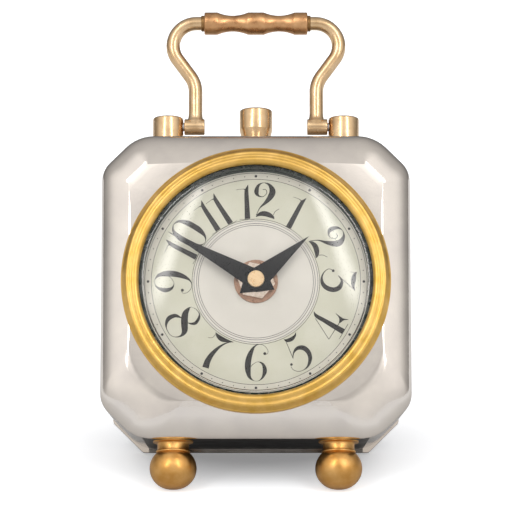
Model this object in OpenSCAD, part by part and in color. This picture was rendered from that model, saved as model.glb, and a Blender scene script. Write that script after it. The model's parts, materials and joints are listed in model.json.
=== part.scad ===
// Small table clock: a chamfered square metal case that leans back on two ball feet and
// on the lower edge of its back plate, with a brass bezel, a domed glass, a quartz
// movement, a push button and a folding carrying handle.
// The clock is drawn upright in its own frame (x to the right, y from the front face
// to the back, z up from the dial's centre) and then leaned back on the table.
// All lengths are millimetres.

/* [Case] */
// Width and height of the case
case_w = 116.4; // [112:0.2:125]
// How far the dial's centre stands above the middle of the case
dial_rise = 0.7; // [0:0.1:1.5]
// Depth of the case from its front face to the back plate
case_depth = 59; // [55:1:75]
// Thickness of the case metal
case_wall = 2.5; // [2:0.25:3.5]
// Leg of the cut at each corner of the case
corner_cut = 13.5; // [12:0.5:20]
// Blend radius of the outline's eight corners
corner_round = 12.5; // [4:0.5:14]
// Width of the soft bevel round the front face
edge_w = 12; // [8:0.5:12]
// Depth of the soft bevel round the front face
edge_d = 10; // [6:0.5:10]
// How much each side draws in from the front to the back
rear_draft = 4.2; // [2:0.2:5]

/* [Back] */
// Thickness of the back plate
back_t = 2; // [1.5:0.25:4]
// How far the back plate stands out round the case
back_lip = 1; // [0.5:0.1:2]
// How far the four case screws stand in from the sides of the case
lug_inset = 15.2; // [14.4:0.1:16]
// Radius of a screw lug in the case
lug_r = 4; // [3.5:0.25:4.5]
// Length of a screw lug
lug_len = 12; // [8:1:16]
// Width of the opening behind the back door
hatch_w = 50; // [40:1:54]
// Height of the opening behind the back door
hatch_h = 46; // [40:1:52]
// How far the door laps over the plate
door_lap = 2.5; // [2:0.25:4]
// Thickness of the door
door_t = 1.2; // [1:0.1:2]
// Outer radius of the door hinge's knuckles
knuckle_r = 1.7; // [1.5:0.1:2.5]
// Radius of the door hinge's pin
hinge_pin_r = 0.8; // [0.6:0.1:1]
// Radius of the door's pull
pull_r = 3.5; // [3:0.25:5]
// Length of the door's pull
pull_len = 4; // [3:0.5:6]

/* [Bezel] */
// Radius of the bezel's opening
bezel_in_r = 43.7; // [42.8:0.1:44]
// Width of the bezel's band
bezel_w = 6.7; // [6:0.1:7.2]
// Depth that the bezel is let into the front face
bezel_seat = 1; // [0.5:0.1:1.4]
// Height of the bezel's crest in front of the front face
bezel_crest = 4.6; // [4:0.1:6]
// Radius of the bezel's rounded inner crest
crest_r = 1.9; // [1.6:0.1:2.2]

/* [Glass] */
// How far the bezel laps over the glass
glass_lap = 1.3; // [1:0.1:1.8]
// Thickness of the glass
glass_t = 1.6; // [1.2:0.1:2]
// Place of the rim's front face, in front of the case's front face
glass_front = 2.2; // [1.8:0.1:2.6]
// Height of the dome above the rim
glass_dome = 6.5; // [5.5:0.25:8]

/* [Dial] */
// Depth of the dial's face behind the case's front face
dial_y = 3.2; // [2.8:0.1:3.6]
// Thickness of the dial
dial_t = 0.8; // [0.5:0.1:1.2]
// Width of the dark ring round the dial
ring_w = 3.1; // [2.6:0.1:3.8]
// Width of the clamping ring behind the dial
clamp_w = 4.8; // [4:0.1:5.5]
// Radius of the clamping ring's four ears
ear_r = 4; // [3.5:0.25:5]
// Thickness of the clamping ring
clamp_t = 1.4; // [1:0.1:2]

/* [Hands] */
// Length of the hour hand from the centre
hour_len = 25.2; // [20:0.2:28]
// Length of the minute hand from the centre
minute_len = 37.5; // [32:0.5:38]
// Length of each hand's tail
tail_len = 7.9; // [5:0.1:9]
// Half of each hand's greatest width
hand_half_w = 3.75; // [2.5:0.05:4.5]
// Thickness of each hand
hand_t = 0.3; // [0.2:0.05:0.4]
// Angle of the hour hand, clockwise from twelve
hour_angle = 51; // [0:1:359]
// Angle of the minute hand, clockwise from twelve
minute_angle = 299; // [0:1:359]
// Radius of the brass cap on the hands
cap_r = 3.15; // [2.6:0.05:4]
// Width across flats of the nut on the dial
nut_af = 12.7; // [11:0.1:14]
// Thickness of the nut on the dial
nut_t = 2.2; // [1.8:0.1:2.4]
// Turn of the nut on the dial
nut_turn = 41.5; // [0:0.5:60]
// Outer radius of the washer on the dial
washer_r = 8.2; // [7.5:0.1:9]

/* [Movement] */
// How much wider the movement's housing is than its battery is long
move_spare = 7; // [5:0.5:7]
// Depth of the front half of the housing
front_half = 8; // [7.5:0.25:9]
// Depth of the back half of the housing
back_half = 9; // [8.5:0.25:11]
// Wall of the housing
move_wall = 1.2; // [1:0.1:1.5]
// Outer radius of the threaded bush
bush_r = 4; // [3.9:0.05:4.2]
// Outer radius of the hour wheel's pipe
hour_pipe_r = 2.6; // [2.4:0.05:2.7]
// Radius of the minute arbor
arbor_r = 1.55; // [1.3:0.05:1.6]
// Module of the cannon pinion and the minute wheel
fast_module = 0.5; // [0.45:0.05:0.5]
// Teeth of both pinions
pinion_teeth = 12; // [12:1:12]
// Teeth of the minute wheel
minute_teeth = 36; // [36:1:36]
// Teeth of the hour wheel
hour_teeth = 48; // [48:1:48]
// Pressure angle of the teeth
pressure_angle = 25; // [20:1:25]
// Play left between meshed teeth
backlash = 0.1; // [0.06:0.02:0.16]
// Radius of the battery
battery_r = 7.25; // [7:0.05:7.25]
// Length of the battery without its button
battery_len = 49; // [48:0.5:49.5]
// Radius of the setting knob
knob_r = 5.5; // [4:0.25:6]
// Length of the setting knob
knob_len = 4; // [3:0.5:6]

/* [Feet] */
// How far each foot stands in from the side of the case
foot_inset = 27.3; // [24:0.1:30]
// Depth of the feet behind the front face
foot_y = 12; // [10:0.5:16]
// Radius of the ball's round section
ball_r = 8.1; // [7:0.1:9]
// Extra half width that makes the ball slightly flat
ball_wide = 0.7; // [0.2:0.1:1.5]
// Radius of the neck above the ball
neck_r = 5.6; // [4.5:0.1:6]
// Height from the ball's centre to the underside of the case
foot_drop = 10.8; // [10:0.1:13]
// Radius of the flared top of the neck
flare_r = 7.75; // [6.5:0.05:8.5]
// Height of the flared top of the neck
flare_h = 1.6; // [1:0.1:2.2]

/* [Handle] */
// How far each post stands in from the side of the case
post_inset = 24.5; // [22:0.1:26]
// Radius of a post
post_r = 5.85; // [5:0.05:6.5]
// Height of a post
post_h = 13.9; // [12:0.1:16]
// Height of the pivot above the case
pivot_h = 10.5; // [8:0.1:11]
// Radius of the pivot pin
pivot_r = 1.6; // [1.2:0.1:2]
// Outer radius of the barrel at the end of each arm
barrel_r = 3.1; // [2.8:0.1:3.6]
// Distance from each post's axis to its leg's axis
leg_gap = 10.5; // [10:0.1:12]
// Radius of the legs
leg_r = 2.65; // [2.2:0.05:2.8]
// Height of the grip above the pivot
grip_h = 41.1; // [36:0.1:48]
// Centreline radius of the lower bend
low_bend = 11; // [8:0.5:12]
// Centreline radius of the upper bend
top_bend = 9; // [8:0.25:10]
// Angle of the slanted stretch from upright
slant = 36; // [30:1:40]
// How far the grip's end stands in from the leg's axis
grip_inset = 2.6; // [2:0.1:4]
// Radius of the grip's thick parts
grip_r = 4.35; // [3.8:0.05:5]
// Radius of the grip's waists
waist_r = 3.1; // [2.6:0.05:3.6]

/* [Button] */
// Radius of the push button's head
head_r = 6.3; // [5.5:0.1:7]
// Height of the head's top above the case
head_top = 17; // [15:0.1:18]
// Height of the head's underside above the case
head_low = 5.2; // [4.8:0.1:6]
// Radius of the head at its underside
head_low_r = 5.3; // [5:0.1:6]
// Travel of the button
press_travel = 2; // [1:0.25:2.2]
// Radius of the button's stem
stem_r = 2; // [1.6:0.1:2.2]
// Wire radius of the return spring
wire_r = 0.3; // [0.2:0.05:0.35]

/* [Hidden] */
$fn = 96;
SLOP = 0.03;
RUN = 0.05;
STEP = 0.02;
FACE_SINK = 0.15;
SLICE = 0.02;
BIG = 400;

NICKEL = [0.74, 0.71, 0.68];
BRASS = [0.87, 0.71, 0.34];
PALE_BRASS = [0.80, 0.68, 0.50];
STEEL = [0.6, 0.6, 0.62];
BLACK = [0.12, 0.12, 0.13];
PLASTIC = [0.2, 0.2, 0.22];

half = case_w / 2;
lug_offset = half - lug_inset;
foot_x = half - foot_inset;
post_x = half - post_inset;
leg_x = post_x - leg_gap;
grip_half = leg_x - grip_inset;
bezel_r = bezel_in_r + bezel_w;
glass_r = bezel_in_r + glass_lap;
ring_in_r = glass_r - ring_w;
clamp_in_r = glass_r - clamp_w;
move_w = battery_len + move_spare;
middle_z = -dial_rise;
back_low_z = middle_z - half + rear_draft - back_lip;
back_high_z = middle_z + half - rear_draft + back_lip;
back_y = case_depth + back_t;
seat_y = bezel_seat;

// Lean: the balls and the plate's lower rear edge touch the table together.
under_z = middle_z - half;
ball_z = under_z - foot_drop;
reach_y = back_y - foot_y - ball_wide;
reach_z = back_low_z - ball_z;
lean = atan2(reach_z, reach_y) + asin(ball_r / norm([reach_y, reach_z]));
lift = back_y * sin(lean) - back_low_z * cos(lean) - FACE_SINK;
front_reach = foot_y * cos(lean) + ball_z * sin(lean) - ball_r - ball_wide * cos(lean);
rear_reach = back_y * cos(lean) + back_high_z * sin(lean);
shift_y = -(front_reach + rear_reach) / 2;

// The stack behind the bezel, from the front to the back.
glass_y = -glass_front;
ring_y = glass_y + glass_t;
dial_back = dial_y + dial_t;
gasket_t = 0.8;
move_y = dial_back + gasket_t;
split_y = move_y + front_half;
move_back = split_y + back_half;
floor_y = move_y + move_wall;
washer_t = 0.5;
nut_front = dial_y - washer_t - nut_t;
hour_hand_y = nut_front - 0.4 - hand_t;
minute_hand_y = hour_hand_y - 0.45 - hand_t;
bush_front = nut_front + 0.1;
bush_flange_t = 0.6;
hour_wheel_y = floor_y + bush_flange_t + 0.4;
hour_wheel_t = 1.2;
fast_y = hour_wheel_y + hour_wheel_t + 0.8;
fast_t = 1.2;
centre_distance = fast_module * (pinion_teeth + minute_teeth) / 2;
slow_module = 2 * centre_distance / (pinion_teeth + hour_teeth);
side_arbor_r = 1;
battery_z = -move_w / 2 + move_wall + battery_r + 0.35;
battery_y = move_back - battery_r - 0.35;
bay_top = battery_z + battery_r + 0.25;
coil_x = 8 - move_w / 2;
coil_z = 9;
coil_r = 4;
coil_len = 22;
coil_y = floor_y + coil_r;
stator_y = coil_y + coil_r;
board_w = 14;
board_x = move_w / 2 - board_w - 3;
board_len = 24;
board_low = -6;
board_y = stator_y;
pillar_r = 1.2;
pocket_r = glass_r + 0.2;
hole_r = pocket_r + 0.2;
washer_fit_r = 2.8;
bezel_screw_r = hole_r + washer_fit_r;
dome_r = (pow(bezel_in_r - 0.5, 2) + glass_dome * glass_dome) / (2 * glass_dome);

// The handle and the posts stand in the middle of the case's depth.
mid_y = 31;
top_z = middle_z + half - rear_draft * (mid_y - edge_d) / (case_depth - edge_d);
pivot_z = top_z + pivot_h;
post_face = sqrt(post_r * post_r - barrel_r * barrel_r);
post_gap = 0.4;
barrel_out = post_x - post_r - post_gap;
barrel_in = leg_x - leg_r - 0.9;
arch_x = leg_x - 0.3;
arch_z = grip_h - top_bend;
bend_dx = leg_x - arch_x + low_bend - (low_bend + top_bend) * cos(slant);
low_z = arch_z - (low_bend + top_bend) * sin(slant) + bend_dx / tan(slant);

collar_in = 0.7;
collar_out = 0.5;

seat_sink = 0.65;
seat_z = top_z - seat_sink;
inner_z = top_z - case_wall - seat_sink;
foot_sink = 0.4;
foot_top_z = under_z + foot_sink;
foot_h = foot_drop + foot_sink;
foot_screw_r = 1.5;
foot_washer_r = 4;
foot_washer_t = 0.6;
foot_seat_z = under_z + case_wall + 0.55;
screw_head_r = 2.8;
screw_head_t = 1.8;
small_screw_r = 1;
case_screw_r = 1.25;
hinge_x = -(hatch_w / 2 + door_lap + knuckle_r + 0.3);
hinge_y = back_y + knuckle_r;
door_y = back_y + 0.15;
door_w = hatch_w + 2 * door_lap;
door_h = hatch_h + 2 * door_lap;
door_pull_x = hatch_w / 2 - 2;
bush_low = 7;
bush_flange_r = 6.2;
spring_seat = 2.6;
spring_top = 10.4;
recess_r = 4.1;

// ---------- placing ----------

module leaned() {
    translate([0, shift_y, lift]) rotate([-lean, 0, 0]) children();
}

module standing() {
    difference() {
        leaned() children();
        translate([-BIG / 2, -BIG / 2, -BIG]) cube(BIG);
    }
}

module turned(y = 0) {
    translate([0, y, 0]) rotate([-90, 0, 0]) rotate_extrude() children();
}

module disc(r, y0, y1) {
    translate([0, y0, 0]) rotate([-90, 0, 0]) cylinder(r = r, h = y1 - y0);
}

module ring(r_out, r_in, y0, y1) {
    difference() {
        disc(r_out, y0, y1);
        disc(r_in, y0 - 1, y1 + 1);
    }
}

module plate(y0, t) {
    translate([0, y0 + t, 0]) rotate([90, 0, 0]) linear_extrude(t) children();
}

module both_sides() {
    children();
    mirror([1, 0, 0]) children();
}

module four_corners(d) {
    for (sx = [-1, 1], sz = [-1, 1])
        translate([sx * d, 0, middle_z + sz * d]) children();
}

module hexagon(af) {
    circle(r = af / 2 / cos(30), $fn = 6);
}

module rounded_square(w, r) {
    union() {
        square([w - 2 * r, w], center = true);
        square([w, w - 2 * r], center = true);
        for (sx = [-1, 1], sy = [-1, 1])
            translate([sx * (w / 2 - r), sy * (w / 2 - r)]) circle(r = r);
    }
}

// ---------- case ----------

function octagon(h, cut) = [
    [h, h - cut], [h - cut, h], [cut - h, h], [-h, h - cut],
    [-h, cut - h], [cut - h, -h], [h - cut, -h], [h, cut - h]
];

module outline(inset, blend) {
    translate([0, middle_z]) offset(r = blend, $fn = 32) offset(delta = -blend - inset)
        polygon(octagon(half, corner_cut));
}

module case_form() {
    hull() {
        for (a = [0 : 15 : 90])
            plate(edge_d * (1 - sin(a)), SLICE) outline(edge_w * (1 - cos(a)), corner_round);
        plate(case_depth - SLICE, SLICE) outline(rear_draft, corner_round);
    }
}

module case_cavity() {
    hull() {
        for (a = [0 : 30 : 90])
            plate(case_wall + (edge_d - case_wall) * (1 - sin(a)), SLICE)
                outline(case_wall + (edge_w - case_wall) * (1 - cos(a)), corner_round);
        plate(case_depth, 1) outline(case_wall + rear_draft, corner_round);
    }
}

module case_lugs() {
    intersection() {
        four_corners(lug_offset) disc(lug_r, case_depth - lug_len, case_depth);
        case_form();
    }
}

module case_shell() {
    color(NICKEL) leaned() difference() {
        union() {
            difference() {
                case_form();
                case_cavity();
            }
            case_lugs();
        }
        disc(bezel_r + 0.1, -1, seat_y);
        disc(hole_r, -1, case_wall + 2);
        bezel_screw_places() disc(small_screw_r + 0.1, 0, case_wall + 2);
        four_corners(lug_offset) disc(case_screw_r + SLOP, case_depth - 9, case_depth + 1);
        for (sx = [-1, 1]) {
            translate([sx * foot_x, foot_y, under_z - 1])
                cylinder(r = foot_screw_r + 0.1, h = case_wall + 4);
            translate([sx * foot_x, foot_y, foot_seat_z])
                cylinder(r = foot_washer_r + 0.1, h = 3);
            translate([sx * post_x, mid_y, top_z - case_wall - 2])
                cylinder(r = foot_screw_r + 0.1, h = case_wall + 4);
        }
        translate([0, mid_y, top_z - case_wall - 2])
            cylinder(r = bush_r + 0.1, h = case_wall + 4);
        seat_flats();
    }
}

// Level seats for the posts and the button's bush in the drawn-in top, and for the feet.
module seat_flats() {
    for (sx = [-1, 1])
        translate([sx * post_x, mid_y, seat_z]) cylinder(r = post_r + RUN, h = 3);
    translate([0, mid_y, seat_z]) cylinder(r = bush_flange_r + RUN, h = 3);
    for (sx = [-1, 1])
        translate([sx * foot_x, foot_y, foot_top_z - 3]) cylinder(r = flare_r + RUN, h = 3);
}

// ---------- back ----------

module back_plate() {
    color(NICKEL) standing() difference() {
        union() {
            plate(case_depth, back_t) outline(rear_draft - back_lip, 2);
            hinge_leaf(-1);
            hinge_leaf(1);
        }
        translate([-hatch_w / 2, case_depth - 1, -hatch_h / 2]) cube([hatch_w, back_t + 2, hatch_h]);
        four_corners(lug_offset) disc(case_screw_r + 0.1, case_depth - 1, back_y + 1);
        hinge_bore();
    }
}

module hinge_leaf(side) {
    leaf = door_h / 4 - 0.3;
    at = side > 0 ? door_h / 4 : -door_h / 4 - leaf;
    translate([hinge_x, hinge_y, at + side * 0.3]) cylinder(r = knuckle_r, h = leaf);
    translate([hinge_x - knuckle_r, back_y - 0.5, at + side * 0.3])
        cube([knuckle_r, knuckle_r + 0.5, leaf]);
}

module hinge_bore() {
    translate([hinge_x, hinge_y, -door_h]) cylinder(r = hinge_pin_r + RUN, h = 2 * door_h);
}

module back_screws() {
    color(STEEL) leaned() four_corners(lug_offset) {
        disc(case_screw_r, case_depth - 8, back_y + 0.5);
        difference() {
            disc(screw_head_r, back_y, back_y + screw_head_t);
            translate([-screw_head_r - 1, back_y + screw_head_t - 0.8, -0.35])
                cube([2 * screw_head_r + 2, 1, 0.7]);
        }
    }
}

module back_door() {
    knuckle = door_h / 2 - 0.6;
    color(NICKEL) leaned() difference() {
        union() {
            translate([-door_w / 2, door_y, -door_h / 2]) cube([door_w, door_t, door_h]);
            translate([hinge_x, hinge_y, -knuckle / 2]) cylinder(r = knuckle_r, h = knuckle);
            translate([hinge_x, door_y, -knuckle / 2])
                cube([-hinge_x - door_w / 2 + 1, door_t, knuckle]);
        }
        hinge_bore();
        translate([door_pull_x, 0, 0]) disc(small_screw_r + SLOP, door_y - 1, door_y + door_t + 1);
    }
}

module door_hinge_pin() {
    pin_len = door_h + 1;
    color(STEEL) leaned() translate([hinge_x, hinge_y, -pin_len / 2])
        cylinder(r = hinge_pin_r, h = pin_len);
}

module door_pull() {
    color(BRASS) leaned() translate([door_pull_x, 0, 0]) {
        disc(small_screw_r, door_y, door_y + door_t + 1);
        turned(door_y + door_t) union() {
            square([pull_r * 0.6, pull_len]);
            translate([0, pull_len - pull_r * 0.5]) square([pull_r * 0.75, pull_r * 0.5]);
            translate([pull_r * 0.75, pull_len - pull_r * 0.25]) circle(r = pull_r * 0.25);
        }
    }
}

// ---------- bezel, glass and dial ----------

module bezel_screw_places() {
    for (a = [45 : 90 : 315])
        translate([bezel_screw_r * cos(a), 0, bezel_screw_r * sin(a)]) children();
}

module bezel_profile() {
    step_r = 0.6;
    groove_r = bezel_in_r + 2 * crest_r + 0.25;
    shoulder = bezel_r - groove_r;
    difference() {
        union() {
            translate([bezel_in_r, crest_r - bezel_crest])
                square([bezel_r - bezel_in_r, seat_y + bezel_crest - crest_r]);
            translate([bezel_in_r + crest_r, crest_r - bezel_crest]) circle(r = crest_r);
            translate([bezel_r - shoulder / 2, crest_r - bezel_crest]) circle(r = shoulder / 2 - 0.1);
        }
        translate([bezel_r - step_r, -bezel_crest]) square([step_r + 1, bezel_crest - 1.3]);
        translate([groove_r - 0.15, -bezel_crest]) square([0.3, crest_r + 0.4]);
        translate([bezel_in_r - 1, glass_y]) square([pocket_r - bezel_in_r + 1, 5]);
    }
}

module bezel_ring() {
    color(BRASS) leaned() difference() {
        turned() bezel_profile();
        bezel_screw_places() disc(small_screw_r + SLOP, -1.2, seat_y + 1);
    }
}

module domed_glass() {
    rise = bezel_in_r - 0.5;
    centre_y = glass_y - glass_dome + dome_r;
    color([0.9, 0.95, 0.95, 0.35]) leaned() difference() {
        union() {
            disc(glass_r, glass_y, glass_y + glass_t);
            intersection() {
                translate([0, centre_y, 0]) sphere(r = dome_r);
                disc(rise, centre_y - dome_r - 1, glass_y + glass_t);
            }
        }
        intersection() {
            translate([0, centre_y, 0]) sphere(r = dome_r - glass_t);
            disc(rise, centre_y - dome_r - 1, glass_y + glass_t + 1);
        }
    }
}

module dial_ring() {
    color([0.11, 0.18, 0.12]) leaned() turned() polygon([
        [ring_in_r + 0.8, ring_y], [glass_r, ring_y], [glass_r, dial_y], [ring_in_r, dial_y]
    ]);
}

module dial_plate() {
    color([0.88, 0.87, 0.80]) leaned() ring(glass_r, bush_r + 0.1, dial_y, dial_back);
}

module clamp_washers() {
    color(BLACK) leaned() bezel_screw_places() difference() {
        disc(washer_fit_r, case_wall, dial_back);
        disc(small_screw_r + 0.1, 0, dial_back + 1);
    }
}

// The ring presses the dial into the bezel; its four ears take the screws.
module clamp_ring() {
    color(STEEL) leaned() difference() {
        union() {
            disc(glass_r, dial_back, dial_back + clamp_t);
            bezel_screw_places() disc(ear_r, dial_back, dial_back + clamp_t);
        }
        disc(clamp_in_r, dial_back - 1, dial_back + clamp_t + 1);
        bezel_screw_places() disc(small_screw_r + 0.1, 0, dial_back + clamp_t + 1);
    }
}

module bezel_screws() {
    head_y = dial_back + clamp_t;
    color(STEEL) leaned() bezel_screw_places() {
        disc(small_screw_r, -1, head_y + 0.5);
        difference() {
            disc(1.9, head_y, head_y + 1.3);
            translate([-3, head_y + 0.7, -0.25]) cube([6, 1, 0.5]);
        }
    }
}

// ---------- movement ----------

module housing(y0, y1, floor_at) {
    difference() {
        plate(y0, y1 - y0) rounded_square(move_w, 3);
        plate(floor_at, y1 - y0) rounded_square(move_w - 2 * move_wall, 2);
    }
}

module bay_wall(y0, y1) {
    translate([-move_w / 2 + 0.5, y0, bay_top]) cube([move_w - 1, y1 - y0, 0.8]);
}

module movement_front() {
    color(PLASTIC) leaned() difference() {
        union() {
            housing(move_y, split_y, floor_y);
            bay_wall(floor_y - 0.5, split_y);
            translate([0, 0, centre_distance])
                disc(2.2, floor_y - 0.5, floor_y + 0.6);
            for (x = [board_x + pillar_r, board_x + board_w - pillar_r])
                translate([x, 0, board_low + board_len - pillar_r])
                    disc(pillar_r, floor_y - 0.5, board_y);
        }
        disc(bush_r + SLOP, move_y - 1, floor_y + 1);
        translate([0, 0, centre_distance]) disc(side_arbor_r + RUN, move_y + 0.6, floor_y + 1);
    }
}

module movement_back() {
    bay_len = battery_len + 3.2;
    color(PLASTIC) leaned() difference() {
        union() {
            difference() {
                plate(split_y, back_half) rounded_square(move_w, 3);
                plate(split_y - 1, back_half + 1 - move_wall)
                    rounded_square(move_w - 2 * move_wall, 2);
            }
            bay_wall(split_y, move_back - 0.5);
            disc(3, split_y, move_back - 0.5);
        }
        translate([-bay_len / 2, split_y - 1, battery_z - battery_r - 0.2])
            cube([bay_len, back_half + 2, 2 * battery_r + 0.4]);
        disc(arbor_r + RUN, split_y - 1, move_back - move_wall);
        translate([0, 0, centre_distance]) disc(side_arbor_r + RUN, split_y, move_back + 1);
    }
}

module bush_gasket() {
    color(BLACK) leaned() ring(9, bush_r + 0.1, dial_back, move_y);
}

module threaded_bush() {
    color(BRASS) leaned() difference() {
        union() {
            disc(bush_r, bush_front, floor_y + 0.1);
            disc(bush_r + 2.2, floor_y, floor_y + bush_flange_t);
        }
        disc(hour_pipe_r + RUN, bush_front - 1, floor_y + 2);
    }
}

module dial_washer() {
    color(NICKEL) leaned() ring(washer_r, bush_r + 0.1, dial_y - washer_t, dial_y);
}

module hex_nut() {
    chamfer_r = nut_af / 2 / cos(30);
    color(NICKEL) leaned() difference() {
        intersection() {
            plate(nut_front, nut_t) rotate(nut_turn) hexagon(nut_af);
            turned() polygon([
                [0, nut_front], [nut_af / 2 - 0.1, nut_front],
                [chamfer_r + 0.1, nut_front + 0.7], [chamfer_r + 0.1, nut_front + nut_t],
                [0, nut_front + nut_t]
            ]);
        }
        disc(bush_r + SLOP, nut_front - 1, nut_front + nut_t + 1);
    }
}

// Involute gear outline, with tooth 0 centred on the angle start.
function involute(a) = tan(a) * 180 / PI - a;

function tooth_half(m, teeth, r) =
    let (rp = m * teeth / 2, rb = rp * cos(pressure_angle))
    90 / teeth - backlash / 4 / rp * 180 / PI + involute(pressure_angle)
    - involute(acos(min(1, rb / r)));

function gear_points(m, teeth, start) =
    let (rp = m * teeth / 2, ra = rp + m, rf = rp - 1.25 * m,
         rb = max(rp * cos(pressure_angle), rf),
         radii = [for (i = [0 : 4]) rb + (ra - rb) * i / 4],
         foot = tooth_half(m, teeth, rb))
    [for (k = [0 : teeth - 1], j = [0 : 11])
        let (rise = j < 6,
             n = rise ? j - 1 : 10 - j,
             r = n < 0 ? rf : radii[n],
             h = n < 0 ? foot : tooth_half(m, teeth, radii[n]),
             a = start + k * 360 / teeth + (rise ? -h : h))
        [r * cos(a), r * sin(a)]];

module gear(m, teeth, start, y0, t) {
    plate(y0, t) polygon(gear_points(m, teeth, start));
}

module hour_wheel() {
    color([0.85, 0.8, 0.6]) leaned() difference() {
        union() {
            gear(slow_module, hour_teeth, 90 + 180 / hour_teeth, hour_wheel_y, hour_wheel_t);
            disc(hour_pipe_r, hour_hand_y - 0.15, hour_wheel_y + hour_wheel_t);
            disc(hour_pipe_r + 1, hour_wheel_y - 0.3, hour_wheel_y + hour_wheel_t + 0.2);
        }
        disc(arbor_r + RUN, hour_hand_y - 1, hour_wheel_y + hour_wheel_t + 1);
    }
}

module minute_arbor() {
    color([0.85, 0.8, 0.6]) leaned() {
        gear(fast_module, pinion_teeth, 90, fast_y - 0.1, fast_t + 0.2);
        disc(arbor_r, minute_hand_y - 0.1, move_back - move_wall - 1);
        disc(cap_r / 2.6, minute_hand_y - 1, minute_hand_y);
    }
}

module minute_wheel() {
    color([0.85, 0.8, 0.6]) leaned() translate([0, 0, centre_distance]) {
        gear(fast_module, minute_teeth, -90 + 180 / minute_teeth, fast_y, fast_t);
        gear(slow_module, pinion_teeth, -90, hour_wheel_y - 0.1, hour_wheel_t + 0.2);
        disc(2.2, hour_wheel_y + hour_wheel_t, fast_y);
        disc(side_arbor_r, move_y + 0.7, move_back + knob_len - 0.8);
    }
}

module set_knob() {
    knob_y = move_back + 0.6;
    color(BLACK) leaned() translate([0, 0, centre_distance]) difference() {
        disc(knob_r, knob_y, knob_y + knob_len);
        disc(side_arbor_r + SLOP, knob_y - 1, move_back + knob_len - 0.7);
        for (a = [0 : 20 : 340])
            translate([(knob_r + 0.5) * cos(a), 0, (knob_r + 0.5) * sin(a)])
                disc(0.8, knob_y - 1, knob_y + knob_len + 1);
    }
}

module coil() {
    color([0.72, 0.4, 0.2]) leaned() translate([coil_x, coil_y, coil_z - coil_len / 2]) union() {
        cylinder(r = coil_r - 0.6, h = coil_len);
        for (z = [0, coil_len - 1])
            translate([0, 0, z]) cylinder(r = coil_r, h = 1);
    }
}

module stator() {
    reach = 12;
    rotor_x = coil_x + reach - 2.6;
    color(STEEL) leaned() difference() {
        union() {
            for (z = [coil_z - coil_len / 2, coil_z + coil_len / 2 - 4])
                translate([coil_x - 3, stator_y, z]) cube([reach, 1, 4]);
            translate([rotor_x - 2.2, stator_y, coil_z - coil_len / 2]) cube([4.8, 1, coil_len]);
            translate([rotor_x, 0, coil_z]) disc(4.2, stator_y, stator_y + 1);
        }
        translate([rotor_x, 0, coil_z]) disc(2.8, stator_y - 1, stator_y + 2);
    }
}

module circuit_board() {
    color([0.1, 0.35, 0.2]) leaned() union() {
        translate([board_x, board_y, board_low]) cube([board_w, 1, board_len]);
        translate([board_x + board_w / 2, 0, 4]) disc(2.6, board_y + 0.5, board_y + 1.8);
    }
}

module quartz_can() {
    color(STEEL) leaned() translate([board_x + 6, board_y - 1.5, 8]) cylinder(r = 1.5, h = 6);
}

module battery() {
    color([0.15, 0.15, 0.17]) leaned() translate([-battery_len / 2, battery_y, battery_z])
        rotate([0, 90, 0]) {
            cylinder(r = battery_r, h = battery_len);
            cylinder(r = 2.7, h = battery_len + 1);
        }
}

module battery_contacts() {
    contact_h = 9;
    color(STEEL) leaned() for (x = [-battery_len / 2 - 0.5, battery_len / 2 + 1.1])
        translate([x, battery_y - 4, battery_z - contact_h / 2]) cube([0.4, 8, contact_h]);
}

// ---------- hands ----------

function hand_outline(len) = let (wide_at = -3.7) [
    [0, len], [hand_half_w, wide_at], [0, -tail_len], [-hand_half_w, wide_at]
];

module hand(len, angle, y0, boss_r, bore_r) {
    difference() {
        union() {
            plate(y0, hand_t) rotate(-angle) polygon(hand_outline(len));
            disc(boss_r, y0, y0 + hand_t);
        }
        disc(bore_r, y0 - 1, y0 + hand_t + 1);
    }
}

module hour_hand() {
    color(BLACK) leaned() hand(hour_len, hour_angle, hour_hand_y, cap_r + 1.4, hour_pipe_r + 0.01);
}

module minute_hand() {
    color(BLACK) leaned() hand(minute_len, minute_angle, minute_hand_y, cap_r + 0.9, arbor_r + 0.01);
}

module hand_cap() {
    cap_h = 1.7;
    color([0.9, 0.75, 0.55]) leaned() difference() {
        turned(minute_hand_y - 0.1) polygon([
            [0, 0], [cap_r, 0], [cap_r, -cap_h + 0.4], [cap_r - 0.4, -cap_h], [0, -cap_h]
        ]);
        disc(cap_r / 2.6 + 0.02, minute_hand_y - 1.05, minute_hand_y + 1);
    }
}

// ---------- feet ----------

module foot_body() {
    collar_z = ball_r * 0.82;
    ring_r = 0.55;
    difference() {
        rotate_extrude() union() {
            translate([0, -ball_r]) square([ball_wide, 2 * ball_r]);
            intersection() {
                translate([ball_wide, 0]) circle(r = ball_r);
                translate([0, -ball_r - 1]) square([BIG, 2 * ball_r + 2]);
            }
            square([neck_r, foot_h]);
            translate([neck_r, collar_z]) circle(r = ring_r, $fn = 48);
            polygon([
                [neck_r - 1, foot_h - flare_h], [neck_r, foot_h - flare_h],
                [flare_r, foot_h - 0.5], [flare_r, foot_h], [neck_r - 1, foot_h]
            ]);
        }
        translate([0, 0, foot_h - 6]) cylinder(r = foot_screw_r + SLOP, h = 7);
    }
}

module foot_left() {
    color(BRASS) standing() translate([-foot_x, foot_y, ball_z]) foot_body();
}

module foot_right() {
    color(BRASS) standing() translate([foot_x, foot_y, ball_z]) foot_body();
}

module foot_screws() {
    head_z = foot_seat_z + foot_washer_t;
    color(STEEL) leaned() both_sides() translate([foot_x, foot_y, 0]) {
        translate([0, 0, foot_top_z - 5]) cylinder(r = foot_screw_r, h = head_z - foot_top_z + 5.5);
        translate([0, 0, head_z]) cylinder(r = screw_head_r, h = screw_head_t);
    }
}

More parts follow.
